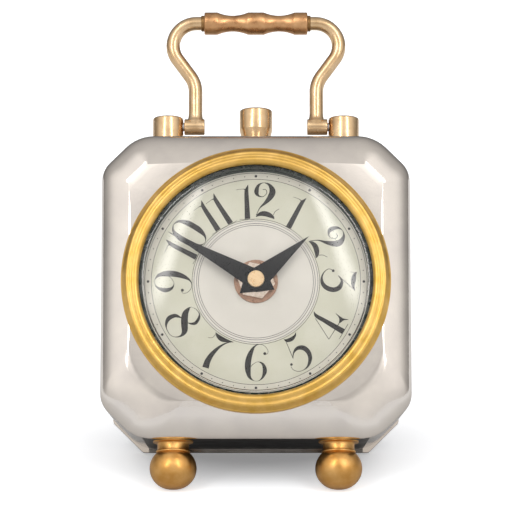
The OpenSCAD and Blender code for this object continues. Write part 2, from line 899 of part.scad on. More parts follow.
module foot_washers() {
    color(STEEL) leaned() both_sides() translate([foot_x, foot_y, foot_seat_z])
        difference() {
            cylinder(r = foot_washer_r, h = foot_washer_t);
            translate([0, 0, -1]) cylinder(r = foot_screw_r + 0.1, h = 3);
        }
}

// ---------- handle ----------

module post(side) {
    edge = 0.5;
    full_h = post_h + seat_sink;
    difference() {
        translate([side * post_x, mid_y, seat_z]) rotate_extrude() union() {
            square([post_r - edge, full_h]);
            square([post_r, full_h - edge]);
            translate([post_r - edge, full_h - edge]) circle(r = edge, $fn = 48);
        }
        translate([side * post_x, mid_y, seat_z - 1]) cylinder(r = foot_screw_r + SLOP, h = 6.5);
        pin_bore(side, pivot_r + 0.01);
    }
}

module pin_bore(side, r) {
    translate([side * post_x, mid_y, pivot_z]) rotate([0, -90 * side, 0]) cylinder(r = r, h = 20);
}

module post_left() {
    color(PALE_BRASS) leaned() post(-1);
}

module post_right() {
    color(PALE_BRASS) leaned() post(1);
}

module post_screws() {
    color(STEEL) leaned() both_sides() translate([post_x, mid_y, 0]) {
        translate([0, 0, inner_z - 0.5]) cylinder(r = foot_screw_r, h = seat_z + 4.5 - inner_z);
        translate([0, 0, inner_z - screw_head_t]) cylinder(r = screw_head_r, h = screw_head_t);
    }
}

module pivot_pins() {
    pin_len = post_x - leg_x + 1;
    color(STEEL) leaned() both_sides() translate([post_x, mid_y, pivot_z])
        rotate([0, -90, 0]) cylinder(r = pivot_r, h = pin_len);
}

// A round bar bent in the xz plane: part of a ring about its centre, from angle a0 over
// the angle sweep, seen from the front with 0 along +x and 90 along +z.
module bent(cx, cz, bend, a0, sweep) {
    translate([cx, mid_y, pivot_z + cz]) rotate([90, 0, 0]) rotate([0, 0, a0])
        rotate_extrude(angle = sweep) translate([bend, 0]) circle(r = leg_r + SLOP);
}

// A straight stretch of bar from one point of the xz plane to another, which runs on a
// little into the bends at its ends.
module rod(from, to, r) {
    d = to - from;
    translate([from[0], mid_y, pivot_z + from[1]]) rotate([0, atan2(d[0], d[1]), 0])
        translate([0, 0, -0.1]) cylinder(r = r, h = norm(d) + 0.2);
}

module arm() {
    low_end = [leg_x + low_bend * (1 - cos(slant)), low_z + low_bend * sin(slant)];
    high_start = [arch_x + top_bend * cos(slant), arch_z - top_bend * sin(slant)];
    difference() {
        union() {
            translate([barrel_in, mid_y, pivot_z]) rotate([0, 90, 0])
                cylinder(r = barrel_r, h = barrel_out - barrel_in);
            rod([leg_x, 0], [leg_x, low_z], leg_r);
            bent(leg_x + low_bend, low_z, low_bend, 180 - slant, slant);
            rod(low_end, high_start, leg_r);
            bent(arch_x, arch_z, top_bend, -slant, 90 + slant);
            rod([arch_x, grip_h], [grip_half + collar_out + 0.1, grip_h], leg_r);
        }
        translate([barrel_in - 1, mid_y, pivot_z]) rotate([0, 90, 0])
            cylinder(r = pivot_r + RUN, h = barrel_out - barrel_in + 2);
    }
}

module handle_arm_left() {
    color(PALE_BRASS) leaned() mirror([1, 0, 0]) arm();
}

module handle_arm_right() {
    color(PALE_BRASS) leaned() arm();
}

module grip_collars() {
    color([0.5, 0.36, 0.2]) leaned() both_sides()
        translate([grip_half - collar_in, mid_y, pivot_z + grip_h])
            rotate([0, 90, 0]) cylinder(r = leg_r + 0.45, h = collar_in + collar_out);
}

module handle_grip() {
    end_len = 5.0;
    mid_len = 6;
    long = 2 * (grip_half - collar_in);
    waist_len = long / 2 - end_len - mid_len / 2;
    steps = 16;
    waist = [for (k = [0 : steps]) let (t = k / steps)
        [waist_r + (grip_r - waist_r) * pow(2 * t - 1, 2), end_len + waist_len * t]];
    mirrored = [for (k = [steps : -1 : 0]) [waist[k][0], long - waist[k][1]]];
    color(PALE_BRASS) leaned() translate([-long / 2, mid_y, pivot_z + grip_h]) rotate([0, 90, 0])
        rotate_extrude() polygon(concat(
            [[0, 0], [grip_r - 0.4, 0], [grip_r, 0.4]], waist, mirrored,
            [[grip_r, long - 0.4], [grip_r - 0.4, long], [0, long]]
        ));
}

// ---------- push button ----------

module button_head() {
    cone_top = 9.2;
    edge = 0.6;
    color(PALE_BRASS) leaned() translate([0, mid_y, top_z]) difference() {
        union() {
            rotate_extrude() polygon([
                [0, head_low], [head_low_r, head_low], [head_r, cone_top],
                [head_r, head_top - edge], [head_r - edge, head_top], [0, head_top]
            ]);
            translate([0, 0, -11]) cylinder(r = stem_r, h = 20);
        }
        translate([0, 0, head_low - 1]) difference() {
            cylinder(r = recess_r, h = spring_top - head_low + 1);
            translate([0, 0, -1]) cylinder(r = stem_r, h = spring_top - head_low + 3);
        }
        translate([0, 0, -bush_low - 1.1]) difference() {
            cylinder(r = stem_r + 1, h = 1);
            translate([0, 0, -1]) cylinder(r = stem_r - 0.4, h = 3);
        }
    }
}

module button_bush() {
    color(PALE_BRASS) leaned() translate([0, mid_y, top_z]) difference() {
        union() {
            translate([0, 0, -seat_sink]) cylinder(r = bush_flange_r, h = seat_sink + 1.2);
            translate([0, 0, -bush_low]) cylinder(r = bush_r, h = bush_low + spring_seat);
        }
        translate([0, 0, -bush_low - 1]) cylinder(r = stem_r + RUN, h = bush_low + 5);
    }
}

module button_nut() {
    color(STEEL) leaned() translate([0, mid_y, inner_z - 2.4]) difference() {
        cylinder(r = 6.5, h = 2.4, $fn = 6);
        translate([0, 0, -1]) cylinder(r = bush_r + SLOP, h = 5);
    }
}

// Points of a coil spring's wire: rings of points that follow a helix.
function coil_ring(i, per_turn, pitch, coil_radius, sides) =
    let (a = 360 * i / per_turn)
    [for (s = [0 : sides - 1])
        let (b = 360 * s / sides, r = coil_radius + wire_r * cos(b))
        [r * cos(a), r * sin(a), pitch * i / per_turn + wire_r * sin(b)]];

module wire_coil(turns, height, coil_radius) {
    per_turn = 16;
    sides = 8;
    count = turns * per_turn;
    points = [for (i = [0 : count]) each coil_ring(i, per_turn, height / turns, coil_radius, sides)];
    walls = [for (i = [0 : count - 1], s = [0 : sides - 1])
        let (n = (s + 1) % sides)
        [i * sides + s, i * sides + n, (i + 1) * sides + n, (i + 1) * sides + s]];
    first = [for (s = [0 : sides - 1]) sides - 1 - s];
    last = [for (s = [0 : sides - 1]) count * sides + s];
    polyhedron(points, concat([first, last], walls));
}

module button_spring() {
    turns = 5;
    height = spring_top - spring_seat - 2 * wire_r - 0.1;
    color(STEEL) leaned() translate([0, mid_y, top_z + spring_seat + wire_r + 0.05])
        wire_coil(turns, height, (recess_r + stem_r) / 2);
}

module button_clip() {
    color(STEEL) leaned() translate([0, mid_y, top_z - bush_low - 0.95]) difference() {
        cylinder(r = stem_r + 1.8, h = 0.7);
        translate([0, 0, -1]) cylinder(r = stem_r - 0.35, h = 3);
        translate([-stem_r + 0.4, 0, -1]) cube([2 * stem_r - 0.8, 10, 3]);
    }
}

// ---------- drawing ----------

case_shell();
back_plate();
back_screws();
back_door();
door_hinge_pin();
door_pull();
bezel_ring();
domed_glass();
dial_ring();
dial_plate();
clamp_washers();
clamp_ring();
bezel_screws();
movement_front();
movement_back();
bush_gasket();
threaded_bush();
dial_washer();
hex_nut();
hour_wheel();
minute_arbor();
minute_wheel();
set_knob();
coil();
stator();
circuit_board();
quartz_can();
battery();
battery_contacts();
hour_hand();
minute_hand();
hand_cap();
foot_left();
foot_right();
foot_screws();
foot_washers();
post_left();
post_right();
post_screws();
pivot_pins();
handle_arm_left();
handle_arm_right();
grip_collars();
handle_grip();
button_head();
button_bush();
button_nut();
button_spring();
button_clip();
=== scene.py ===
import math

import bmesh
import bpy
from mathutils import Matrix, Vector
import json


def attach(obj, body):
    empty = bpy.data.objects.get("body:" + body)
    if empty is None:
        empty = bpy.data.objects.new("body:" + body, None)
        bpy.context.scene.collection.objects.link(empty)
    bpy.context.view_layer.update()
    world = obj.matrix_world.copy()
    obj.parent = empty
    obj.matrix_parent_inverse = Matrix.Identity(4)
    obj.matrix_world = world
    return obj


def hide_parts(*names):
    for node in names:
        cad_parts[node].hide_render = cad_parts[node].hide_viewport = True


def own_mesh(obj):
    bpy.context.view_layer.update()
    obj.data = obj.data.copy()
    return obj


# %% [markdown]
# A small table clock: a nickel-plated metal case that leans back on two brass ball feet,
# with a brass bezel, a domed crystal over a printed dial, a push button and a carrying
# handle on two posts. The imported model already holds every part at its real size, so this
# script only finishes them: it loads that model and puts smoother pieces and real surfaces
# where the plain solids are.

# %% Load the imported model
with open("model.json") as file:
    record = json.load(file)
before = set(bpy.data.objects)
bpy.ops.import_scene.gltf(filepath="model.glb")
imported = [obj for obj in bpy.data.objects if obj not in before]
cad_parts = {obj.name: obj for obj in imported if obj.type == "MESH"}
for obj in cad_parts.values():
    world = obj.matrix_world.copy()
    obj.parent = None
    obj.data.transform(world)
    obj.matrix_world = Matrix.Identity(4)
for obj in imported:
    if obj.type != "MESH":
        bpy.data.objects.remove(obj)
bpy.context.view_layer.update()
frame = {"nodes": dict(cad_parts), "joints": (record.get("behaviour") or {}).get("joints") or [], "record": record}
nodes = frame["nodes"]
joints = {joint["name"]: joint for joint in frame["joints"]}
slot_of = {part["node"]: part["material_slot"] for part in frame["record"]["subparts"]}

# %% [markdown]
# The clock leans back on its table, but it is far easier to draw upright. Everything below
# is drawn in the clock's own frame, in millimetres: x to the right, y from the front face
# to the back, and z up from the dial's centre. One matrix then leans a finished mesh back
# and scales it to metres. The lean is read from the axis that the hands turn on.

# %% The clock's own frame
MM = 0.001
axis = Vector(joints["minute_spin"]["axis"]).normalized()
LEAN = math.atan2(-axis.z, axis.y)
CENTRE = Vector(joints["minute_spin"]["pos_m"])
UPRIGHT = Matrix.Translation(CENTRE) @ Matrix.Rotation(-LEAN, 4, "X")
CLOCK = UPRIGHT @ Matrix.Scale(MM, 4)
print("lean:", round(math.degrees(LEAN), 2), "degrees")

# %% [markdown]
# The camera stands on the clock's middle line, a little below the line that looks straight
# into the dial, about a metre and a half away with a long lens. From there the square case
# looks square.

# %% Camera
CAMERA_AWAY = 1500
CAMERA_BELOW = math.radians(11.81)
# The camera aims between the feet and the grip, a little behind the front of the case.
AIM = Vector((-0.35, 10, 11.64))
LENS = 281.5
SENSOR = 36
SEES_TO_M = 20
back_off = Vector((0, -math.cos(CAMERA_BELOW), -math.sin(CAMERA_BELOW))) * CAMERA_AWAY
camera_data = bpy.data.cameras.new("camera")
camera_data.lens = LENS
camera_data.sensor_width = SENSOR
camera_data.clip_end = SEES_TO_M
camera = bpy.data.objects.new("camera", camera_data)
bpy.context.collection.objects.link(camera)
turn = Matrix.Rotation(math.radians(90) + CAMERA_BELOW, 4, "X")
camera.matrix_world = UPRIGHT @ Matrix.Translation((AIM + back_off) * MM) @ turn
bpy.context.scene.camera = camera
bpy.context.scene.view_settings.view_transform = "Standard"
print("camera at", [round(v, 3) for v in camera.matrix_world.translation])

# %% [markdown]
# Every material is built from nodes. One function turns a colour that is written as on the
# web into the linear light that Blender works in. Another adds a node with its settings, and
# sets or links its inputs, so that the materials below stay short.

# %% Colours and nodes
def colour(code):
    linear = []
    for i in (1, 3, 5):
        part = int(code[i:i + 2], 16) / 255
        linear.append(part / 12.92 if part <= 0.04045 else ((part + 0.055) / 1.055) ** 2.4)
    return (*linear, 1)


def add(tree, kind, inputs=None, **settings):
    node = tree.nodes.new(kind)
    for name, value in settings.items():
        setattr(node, name, value)
    for name, value in (inputs or {}).items():
        if isinstance(value, bpy.types.NodeSocket):
            tree.links.new(value, node.inputs[name])
        else:
            node.inputs[name].default_value = value
    return node


# %% A material to start from
def finish(name, base, **sockets):
    material = bpy.data.materials.new(name)
    material.use_nodes = True
    shader = material.node_tree.nodes["Principled BSDF"]
    shader.inputs["Base Color"].default_value = colour(base)
    for socket, value in sockets.items():
        shader.inputs[socket.replace("_", " ")].default_value = value
    return material, material.node_tree, shader


# %% [markdown]
# A real surface is never one flat colour or one even sheen. A noise whose grain has a size
# in millimetres moves the tone between two colours and the roughness between two values. A
# noise mostly lies between 0.3 and 0.7, so about that range is stretched to the whole. The
# same noise, or a finer one, also raises the surface by a real height.

# %% An uneven surface
NOISE_WIDE = (0.3, 0.7)
NOISE_MIDDLE = (0.35, 0.7)
# The Mix node keeps its two colours in sockets 6 and 7, and gives the mixed one in socket 2.
ONE, OTHER, MIXED = 6, 7, 2


def grain(tree, size_mm, detail=3):
    place = add(tree, "ShaderNodeTexCoord").outputs["Object"]
    return add(tree, "ShaderNodeTexNoise", {"Vector": place, "Scale": 1 / (size_mm * MM),
                                            "Detail": detail}).outputs["Fac"]


def uneven(tree, shader, noise, tones, tone_range, rough, rough_range, relief, height_mm):
    share = add(tree, "ShaderNodeMapRange", {"Value": noise, "From Min": tone_range[0],
                                             "From Max": tone_range[1]})
    tone = add(tree, "ShaderNodeMix", {"Factor": share.outputs["Result"], ONE: colour(tones[0]),
                                       OTHER: colour(tones[1])}, data_type="RGBA")
    sheen = add(tree, "ShaderNodeMapRange", {"Value": noise, "From Min": rough_range[0],
                                             "From Max": rough_range[1], "To Min": rough[0],
                                             "To Max": rough[1]})
    raised = add(tree, "ShaderNodeBump", {"Height": relief, "Distance": height_mm * MM})
    tree.links.new(tone.outputs[MIXED], shader.inputs["Base Color"])
    tree.links.new(sheen.outputs["Result"], shader.inputs["Roughness"])
    tree.links.new(raised.outputs["Normal"], shader.inputs["Normal"])


# %% [markdown]
# The case is brass sheet, nickel plated and polished. Nickel is a warm, slightly grey
# mirror. Years of dusting leave faint cloudy patches and a fine orange peel from the
# polishing wheel, which only show in how sharp the reflections are.

# %% Polished nickel
CLOUD_MM = 9
PEEL_MM = 3.5
PEEL_HEIGHT = 0.012


# Nickel plate, buffed on a cloth wheel: a warm grey mirror that blurs a little in patches.
def polished_nickel():
    material, tree, shader = finish("nickel_plate_polished", "#DDD5CC", Metallic=1, Roughness=0.1)
    uneven(tree, shader, grain(tree, CLOUD_MM), tones=("#D8D1CA", "#E2DBD2"),
           tone_range=(0.3, 0.75), rough=(0.06, 0.17), rough_range=NOISE_MIDDLE,
           relief=grain(tree, PEEL_MM, detail=2), height_mm=PEEL_HEIGHT)
    return material


NICKEL = polished_nickel()

# %% [markdown]
# Brass is copper and zinc, and its colour says how it was kept: yellow under old lacquer,
# pale and pinkish where it is polished bare, brown in grooves. All of it here is turned or
# drawn, so one function makes every brass: patches of two tones, and fine scratches. Their
# spacing of half a millimetre is coarser than the real one, so that they show at all.

# %% Brass
SCRATCH_MM = 0.5
SCRATCH_HEIGHT = 0.004


def brass(name, deep, light, rough_low, rough_high, patch_mm):
    material, tree, shader = finish(name, light, Metallic=1, Roughness=rough_low)
    uneven(tree, shader, grain(tree, patch_mm), tones=(deep, light), tone_range=(0.32, 0.72),
           rough=(rough_low, rough_high), rough_range=NOISE_MIDDLE,
           relief=grain(tree, SCRATCH_MM), height_mm=SCRATCH_HEIGHT)
    return material


# %% The brass finishes
# Turned brass under lacquer that has yellowed: a deep gold with a soft sheen.
BEZEL_BRASS = brass("brass_lacquered", "#CFA44E", "#E3BB70", 0.28, 0.4, 5)
# Turned brass left satin from the lathe: an orange gold whose highlights are broad.
FOOT_BRASS = brass("brass_satin", "#CC9650", "#DDAE6C", 0.3, 0.44, 4)
# Bare brass, polished often: pale and pinkish, with the clearest reflections of them all.
PALE_BRASS = brass("brass_pale_worn", "#CDAC82", "#DCBF99", 0.2, 0.28, 4)
# Bare brass that hands hold: redder, and dulled in small patches.
GRIP_BRASS = brass("brass_handled", "#B5845A", "#D2A678", 0.24, 0.38, 3)
# Brass in a groove that no cloth reaches: brown, with hardly a shine.
AGED_BRASS = brass("brass_aged", "#7A5A34", "#A8845A", 0.3, 0.5, 2)
# A turned cap, faced flat across: a pale disc that takes the light evenly.
CAP_BRASS = brass("brass_light_cap", "#E0BD90", "#ECCFA6", 0.25, 0.4, 2)
print("metals:", [metal.name for metal in (NICKEL, BEZEL_BRASS, FOOT_BRASS, PALE_BRASS, GRIP_BRASS,
                                          AGED_BRASS, CAP_BRASS)])

# %% [markdown]
# The other surfaces are simpler: plastic, rubber, lacquer, plated steel. Each is two close
# tones mixed by a fine noise that also moves the roughness and raises a slight bump. Enamel,
# matt lacquer and ink mirror less than plastic does, so their specular level is lower.

# %% Simple finishes
ROUGH_SPREAD = 0.15


def plain(name, dark, light, rough, spot_mm, metal=0, height=0.01, shine=0.5):
    material, tree, shader = finish(name, light, Metallic=metal, Roughness=rough,
                                    Specular_IOR_Level=shine)
    spots = grain(tree, spot_mm)
    uneven(tree, shader, spots, tones=(dark, light), tone_range=NOISE_WIDE,
           rough=(rough * (1 - ROUGH_SPREAD), rough * (1 + ROUGH_SPREAD)), rough_range=NOISE_WIDE,
           relief=spots, height_mm=height)
    return material


# %% Finishes by slot
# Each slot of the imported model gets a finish, and these are the ones not made above.
SLOTS = {
    "nickel": NICKEL,
    "brass": FOOT_BRASS,
    "pale_brass": PALE_BRASS,
    "aged_brass": AGED_BRASS,
    # Enamel brushed on a metal ring: a green so deep that it reads as shadow.
    "ring_green": plain("enamel_dark_green", "#0E1D11", "#16281A", 0.6, 2, shine=0.08),
    # Matt lacquer sprayed on stamped sheet: flat black, with hardly a highlight.
    "hand_black": plain("lacquer_black_matt", "#08080A", "#101012", 0.6, 0.8, shine=0.05),
    # Zinc-plated steel: a cool grey with a blurred shine.
    "steel": plain("steel_zinc_plated", "#9A9C9E", "#B4B6B8", 0.32, 1.5, metal=1),
    # Moulded nylon: a waxy cream.
    "gear": plain("nylon_cream", "#CFC7A6", "#DDD6B8", 0.45, 1),
    # Moulded ABS from a finely grained tool: dark grey, with a soft broken highlight.
    "housing": plain("abs_moulded_black", "#232326", "#2F2F33", 0.5, 0.6, height=0.02),
    # Moulded rubber: dull black.
    "rubber": plain("rubber_black", "#1B1B1B", "#262626", 0.7, 0.8),
    # Enamelled copper wire, wound in layers: red brown, and rough with its turns.
    "copper": plain("copper_enamelled_wire", "#9A5526", "#B96C35", 0.35, 0.4, metal=1,
                    height=0.05),
    # Glass-fibre board under solder mask: a slightly glossy green.
    "board": plain("fibreglass_board_green", "#14502E", "#1D6B3E", 0.4, 1.2),
    # The shrunk plastic sleeve of a battery: smooth grey.
    "cell": plain("battery_wrap_grey", "#3A3C40", "#4A4C50", 0.35, 6),
}
# Nickel plate underneath, given a brown that is nearly black: a painted shade, standing for the dark that the
# underside mirrors.
UNDERSIDE_SHADE_NICKEL = plain("nickel_painted_underside_shade", "#1A110B", "#2A1D14", 0.35, 6, metal=1)
# Bright nickel on a nut cut from bar: paler than the case, with crisp edges.
NUT_NICKEL = plain("nickel_plate_bright", "#C9B6A4", "#DDCDBE", 0.2, 1.5, metal=1, height=0.003)
# A stamped washer whose copper undercoat shows through its plating: a dull pink brown.
WASHER_COPPER = plain("washer_coppered", "#94705A", "#AE8C76", 0.3, 1.2, metal=1, height=0.004)
print("slots with a finish:", sorted(SLOTS))

# %% [markdown]
# The crystal bends and mirrors light as glass does. Blender would also let it throw a full
# shadow on the dial, because light through curved glass is hard to trace. So it counts as
# clear for shadow rays and diffuse rays, and the dial gets the light that it gets through
# real glass. Real glass has an index of about 1.5. It is set a little lower here, so that
# the mirrored room doesn't veil the print.

# %% Clear glass
CRYSTAL_IOR = 1.42


# Pressed and polished clock glass: no colour of its own, and small sharp highlights.
def clear_glass():
    material, tree, shader = finish("crystal_clear", "#FFFFFF", Roughness=0, IOR=CRYSTAL_IOR,
                                    Transmission_Weight=1)
    path = add(tree, "ShaderNodeLightPath")
    through = add(tree, "ShaderNodeMath", {0: path.outputs["Is Shadow Ray"],
                                           1: path.outputs["Is Diffuse Ray"]}, operation="MAXIMUM")
    shown = add(tree, "ShaderNodeMixShader", {
        0: through.outputs[0], 1: shader.outputs[0],
        2: add(tree, "ShaderNodeBsdfTransparent").outputs[0]})
    tree.links.new(shown.outputs[0], tree.nodes["Material Output"].inputs["Surface"])
    return material


SLOTS["glass"] = clear_glass()

# %% [markdown]
# Shapes come next. Most of a clock is turned on a lathe, so most pieces start as a half
# outline that is spun round an axis. A corner of an outline can carry a radius as a third
# number, which one function swaps for a small arc: real edges are never sharp, and the
# small round is what catches the light.

# %% Outlines
def eased(corners, steps=4):
    points = []
    for i, corner in enumerate(corners):
        here = Vector(corner[:2])
        radius = corner[2] if len(corner) > 2 else 0
        if not radius or i in (0, len(corners) - 1):
            points.append(here)
            continue
        before = (Vector(corners[i - 1][:2]) - here).normalized()
        after = (Vector(corners[i + 1][:2]) - here).normalized()
        half = before.angle(after) / 2
        middle = here + (before + after).normalized() * radius / math.sin(half)
        start = here + before * radius / math.tan(half) - middle
        end = here + after * radius / math.tan(half) - middle
        sweep = start.angle_signed(end)
        for k in range(steps + 1):
            points.append(middle + Matrix.Rotation(-sweep * k / steps, 2) @ start)
    return points


def arc(cx, cy, radius, start, end, steps=12):
    angles = [math.radians(start + (end - start) * k / steps) for k in range(steps + 1)]
    return [(cx + radius * math.cos(a), cy + radius * math.sin(a)) for a in angles]


# %% [markdown]
# An outline is a list of pairs: the distance from the axis, and the place along it. It is
# spun round z, and a matrix then lays that axis along the dial's, upright, or across the
# clock.

# %% Turning
# Points of a drawing that are closer than this, in millimetres, are one point.
SAME_MM = 1e-4
AXES = {
    "dial": Matrix(((1, 0, 0), (0, 0, 1), (0, 1, 0))).to_4x4(),
    "up": Matrix.Identity(4),
    "across": Matrix(((0, 0, 1), (0, 1, 0), (1, 0, 0))).to_4x4(),
}


def turned(profile, steps=96, way="up", at=(0, 0, 0)):
    bm = bmesh.new()
    verts = [bm.verts.new((x, 0, y)) for x, y in profile]
    for a, b in zip(verts, verts[1:]):
        bm.edges.new((a, b))
    bmesh.ops.spin(bm, geom=bm.verts[:] + bm.edges[:], cent=(0, 0, 0), axis=(0, 0, 1),
                   angle=math.tau, steps=steps, use_merge=True)
    bmesh.ops.remove_doubles(bm, verts=bm.verts, dist=SAME_MM)
    bmesh.ops.transform(bm, matrix=Matrix.Translation(at) @ AXES[way], verts=bm.verts)
    return bm


def closed(profile):
    return profile + [profile[0]]


# %% [markdown]
# A mesh becomes a piece in a few steps. Its faces are turned outwards, angle tells its soft edges from its sharp
# ones, and it gets its finish. Then it is attached to the body that it moves with, and the imported solids that it
# replaces are hidden. A piece drawn upright goes through the clock's matrix first; a placed one is where it
# belongs already.

# %% Pieces
def piece(name, bm, body, material, slot, *replaced, sharp=30, weighted=False):
    bmesh.ops.transform(bm, matrix=CLOCK, verts=bm.verts)
    return placed(name, bm, body, material, slot, *replaced, sharp=sharp, weighted=weighted)


def placed(name, bm, body, material, slot, *replaced, sharp=30, weighted=False):
    bmesh.ops.recalc_face_normals(bm, faces=bm.faces)
    mesh = bpy.data.meshes.new(name)
    bm.to_mesh(mesh)
    bm.free()
    mesh.shade_smooth()
    mesh.set_sharp_from_angle(angle=math.radians(sharp))
    mesh.materials.append(material)
    made = bpy.data.objects.new(name, mesh)
    bpy.context.collection.objects.link(made)
    if weighted:
        made.modifiers.new("even_shading", "WEIGHTED_NORMAL").keep_sharp = True
    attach(made, body)
    if replaced:
        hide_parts(*replaced)
    print(name, len(mesh.polygons), "faces")
    return made


# %% Meshes joined to one
def joined(*parts):
    bm = bmesh.new()
    for part in parts:
        mesh = bpy.data.meshes.new("part")
        part.to_mesh(mesh)
        part.free()
        bm.from_mesh(mesh)
        bpy.data.meshes.remove(mesh)
    return bm


# %% [markdown]
# The case is a pressed box with eight sides: a square whose corners are cut off. Its front
# is slightly crowned and ends in a crease, from where the edge rolls over in a wide soft
# bevel, and the sides draw in a little towards the back. At the crease the upper corners
# are crisp, while the two lower slants are turned and drawn in, so that the crease hangs
# slack from the sides to the bottom. The lower lip comes forward. A subdivided box would
# lose that crease, so the case is made of loops instead.

# %% Case outline
# The outline at its widest: half its width, its middle, and how much the corners cut off.
CASE_HALF = 58.2
CASE_MIDDLE = -0.7
CORNER_CUT = 13.5
# How round its corners are next to the side walls, and next to the top and bottom.
SIDE_ROUND = 10
TOP_ROUND = 15.5
# How round they are at the crease: the four upper ones, and the four lower ones.
CRISP_ROUND = 1.2
SOFT_ROUND = 20
# How far the lower slants turn, in degrees, and draw in at the crease.
LOW_TURN = 14
LOW_PULL = 5.5
# The crease lies nearer the edge at the sides and the slants than at the top and bottom.
SIDE_SHARE = 0.8
SLANT_SHARE = 0.9
# The lower lip comes forward by this share of the bevel's depth. The power keeps that to
# the lowest part.
LOW_ROLL = 0.25
LOW_POWER = 6
EDGE_D = 10
ARC_POINTS = 7


def octagon_sides(inset, crisp):
    slant = (2 * CASE_HALF - CORNER_CUT) / math.sqrt(2) - inset * SLANT_SHARE
    low = slant - LOW_PULL * crisp
    turn = LOW_TURN * crisp
    side = CASE_HALF - inset * SIDE_SHARE
    top = CASE_HALF - inset
    return ((0, side), (45, slant), (90, top), (135, slant), (180, side), (225 + turn, low),
            (270, top), (315 - turn, low), (360, side))


# %% [markdown]
# A loop goes round the eight sides. Each side is given by the direction that it faces and
# its distance from the middle. Where two sides meet, their crossing point, found a blend's
# radius inside both, is the centre of the arc that joins them. Every loop has the same
# number of points, the round ones too, so that neighbours can be bridged.

# %% Loops round the case
def octagon_ring(y, inset, crisp=0, thinner=0):
    sides = octagon_sides(inset, crisp)
    ring = []
    for k in range(8):
        full = TOP_ROUND if k % 4 in (1, 2) else SIDE_ROUND
        front = CRISP_ROUND if k < 4 else SOFT_ROUND
        blend = full + (front - full) * crisp - thinner
        (first, near), (second, far) = sides[k], sides[k + 1]
        first, second = math.radians(first), math.radians(second)
        n1 = Vector((math.cos(first), math.sin(first)))
        n2 = Vector((math.cos(second), math.sin(second)))
        det = n1.cross(n2)
        centre = Vector((((near - blend) * n2.y - (far - blend) * n1.y) / det,
                         ((far - blend) * n1.x - (near - blend) * n2.x) / det))
        for j in range(ARC_POINTS):
            a = first + (second - first) * j / (ARC_POINTS - 1)
            p = centre + Vector((math.cos(a), math.sin(a))) * blend
            low = max(0, -p.y / CASE_HALF) ** LOW_POWER * (y <= EDGE_D)
            ring.append(Vector((p.x, y * (1 - LOW_ROLL * low), CASE_MIDDLE + p.y)))
    return ring


def circle_ring(y, radius):
    spread = 45 / ARC_POINTS
    angles = [math.radians(spread * (i + 0.5)) for i in range(8 * ARC_POINTS)]
    return [Vector((radius * math.cos(a), y, radius * math.sin(a))) for a in angles]


# %% Loops joined to a shell
def lofted(rings):
    bm = bmesh.new()
    loop = [bm.verts.new(place) for place in rings[0]]
    for a, b in zip(loop, loop[1:] + loop[:1]):
        bm.edges.new((a, b))
    for ring in rings[1:]:
        edges = [bm.edges.get((a, b)) for a, b in zip(loop, loop[1:] + loop[:1])]
        grown = bmesh.ops.extrude_edge_only(bm, edges=edges)["geom"]
        fresh = {g for g in grown if isinstance(g, bmesh.types.BMVert)}
        loop = [next(e.other_vert(v) for e in v.link_edges if e.other_vert(v) in fresh)
                for v in loop]
        for vert, place in zip(loop, ring):
            vert.co = place
    bmesh.ops.remove_doubles(bm, verts=bm.verts, dist=SAME_MM)
    return bm


# %% [markdown]
# The loops run from the round hole out to the crease, over the bevel, back along the sides,
# and forward again inside as a wall. The bevel is an arc much wider than it is deep, and it
# starts at the crease with a slope: that break is what draws the crease's line.

# %% Case shell
HOLE_R = 45.6
# The crown falls back by this times the square of the distance from the hole's rim.
CROWN = 0.002
EDGE_W = 13
ROLL_W = 30
FACE_LOOPS = 6
BEVEL_LOOPS = 14
CASE_DEPTH = 59
DRAFT = 4.2
WALL = 2.5


def crowned(place, share=1):
    out = max(0, math.hypot(place.x, place.z) - HOLE_R)
    return place + Vector((0, CROWN * share * out * out, 0))


def case_mesh():
    hole = circle_ring(0, HOLE_R)
    edge = octagon_ring(0, EDGE_W, 1)
    rings = [[crowned(near.lerp(far, k / FACE_LOOPS)) for near, far in zip(hole, edge)]
             for k in range(FACE_LOOPS)]
    steepest = math.acos(1 - EDGE_W / ROLL_W)
    for k in range(BEVEL_LOOPS + 1):
        a = steepest * (1 - k / BEVEL_LOOPS)
        inset = ROLL_W * (1 - math.cos(a))
        depth = EDGE_D - EDGE_D * math.sin(a) / math.sin(steepest)
        ring = octagon_ring(depth, inset, inset / EDGE_W)
        rings.append([crowned(place, inset / EDGE_W) for place in ring])
    rings.append(octagon_ring((EDGE_D + CASE_DEPTH) / 2, DRAFT / 2))
    rings.append(octagon_ring(CASE_DEPTH, DRAFT))
    rings.append(octagon_ring(CASE_DEPTH, DRAFT + WALL, 0, WALL))
    rings.append(octagon_ring(EDGE_D, WALL + 1, 0, WALL))
    rings.append(octagon_ring(WALL, EDGE_W, 1))
    rings.append(circle_ring(WALL, HOLE_R))
    return lofted(rings + rings[:1])


# %% [markdown]
# The underside lies just above the table and mirrors the dark under the clock, so the faces that look almost
# straight down get a brown that is nearly black: a painted shade. A face's normal tells where it looks: its height
# is -1 when that is straight down.

# %% Case
UNDERSIDE = -0.95
case = piece("case", case_mesh(), "case", NICKEL, "nickel", "case_shell", weighted=True)
# The faces that look down get the painted shade: a brown that is nearly black.
case.data.materials.append(UNDERSIDE_SHADE_NICKEL)
for face in case.data.polygons:
    aim = Matrix.Rotation(LEAN, 3, "X") @ face.normal
    face.material_index = int(aim.z < UNDERSIDE)
print("faces underneath:", sum(face.material_index for face in case.data.polygons))

# %% [markdown]
# The bezel is a turned brass ring. Its section has a round inner crest, a fine groove, a
# second lower round, and a small step at the very edge. It reaches back behind the front of
# the case, and the glass sits in the pocket behind its crest.

# %% Bezel
BEZEL_R = 50.4
BEZEL_IN = 43.7
BEZEL_BACK = 1
GLASS_Y = -2.2
POCKET_R = 45.2
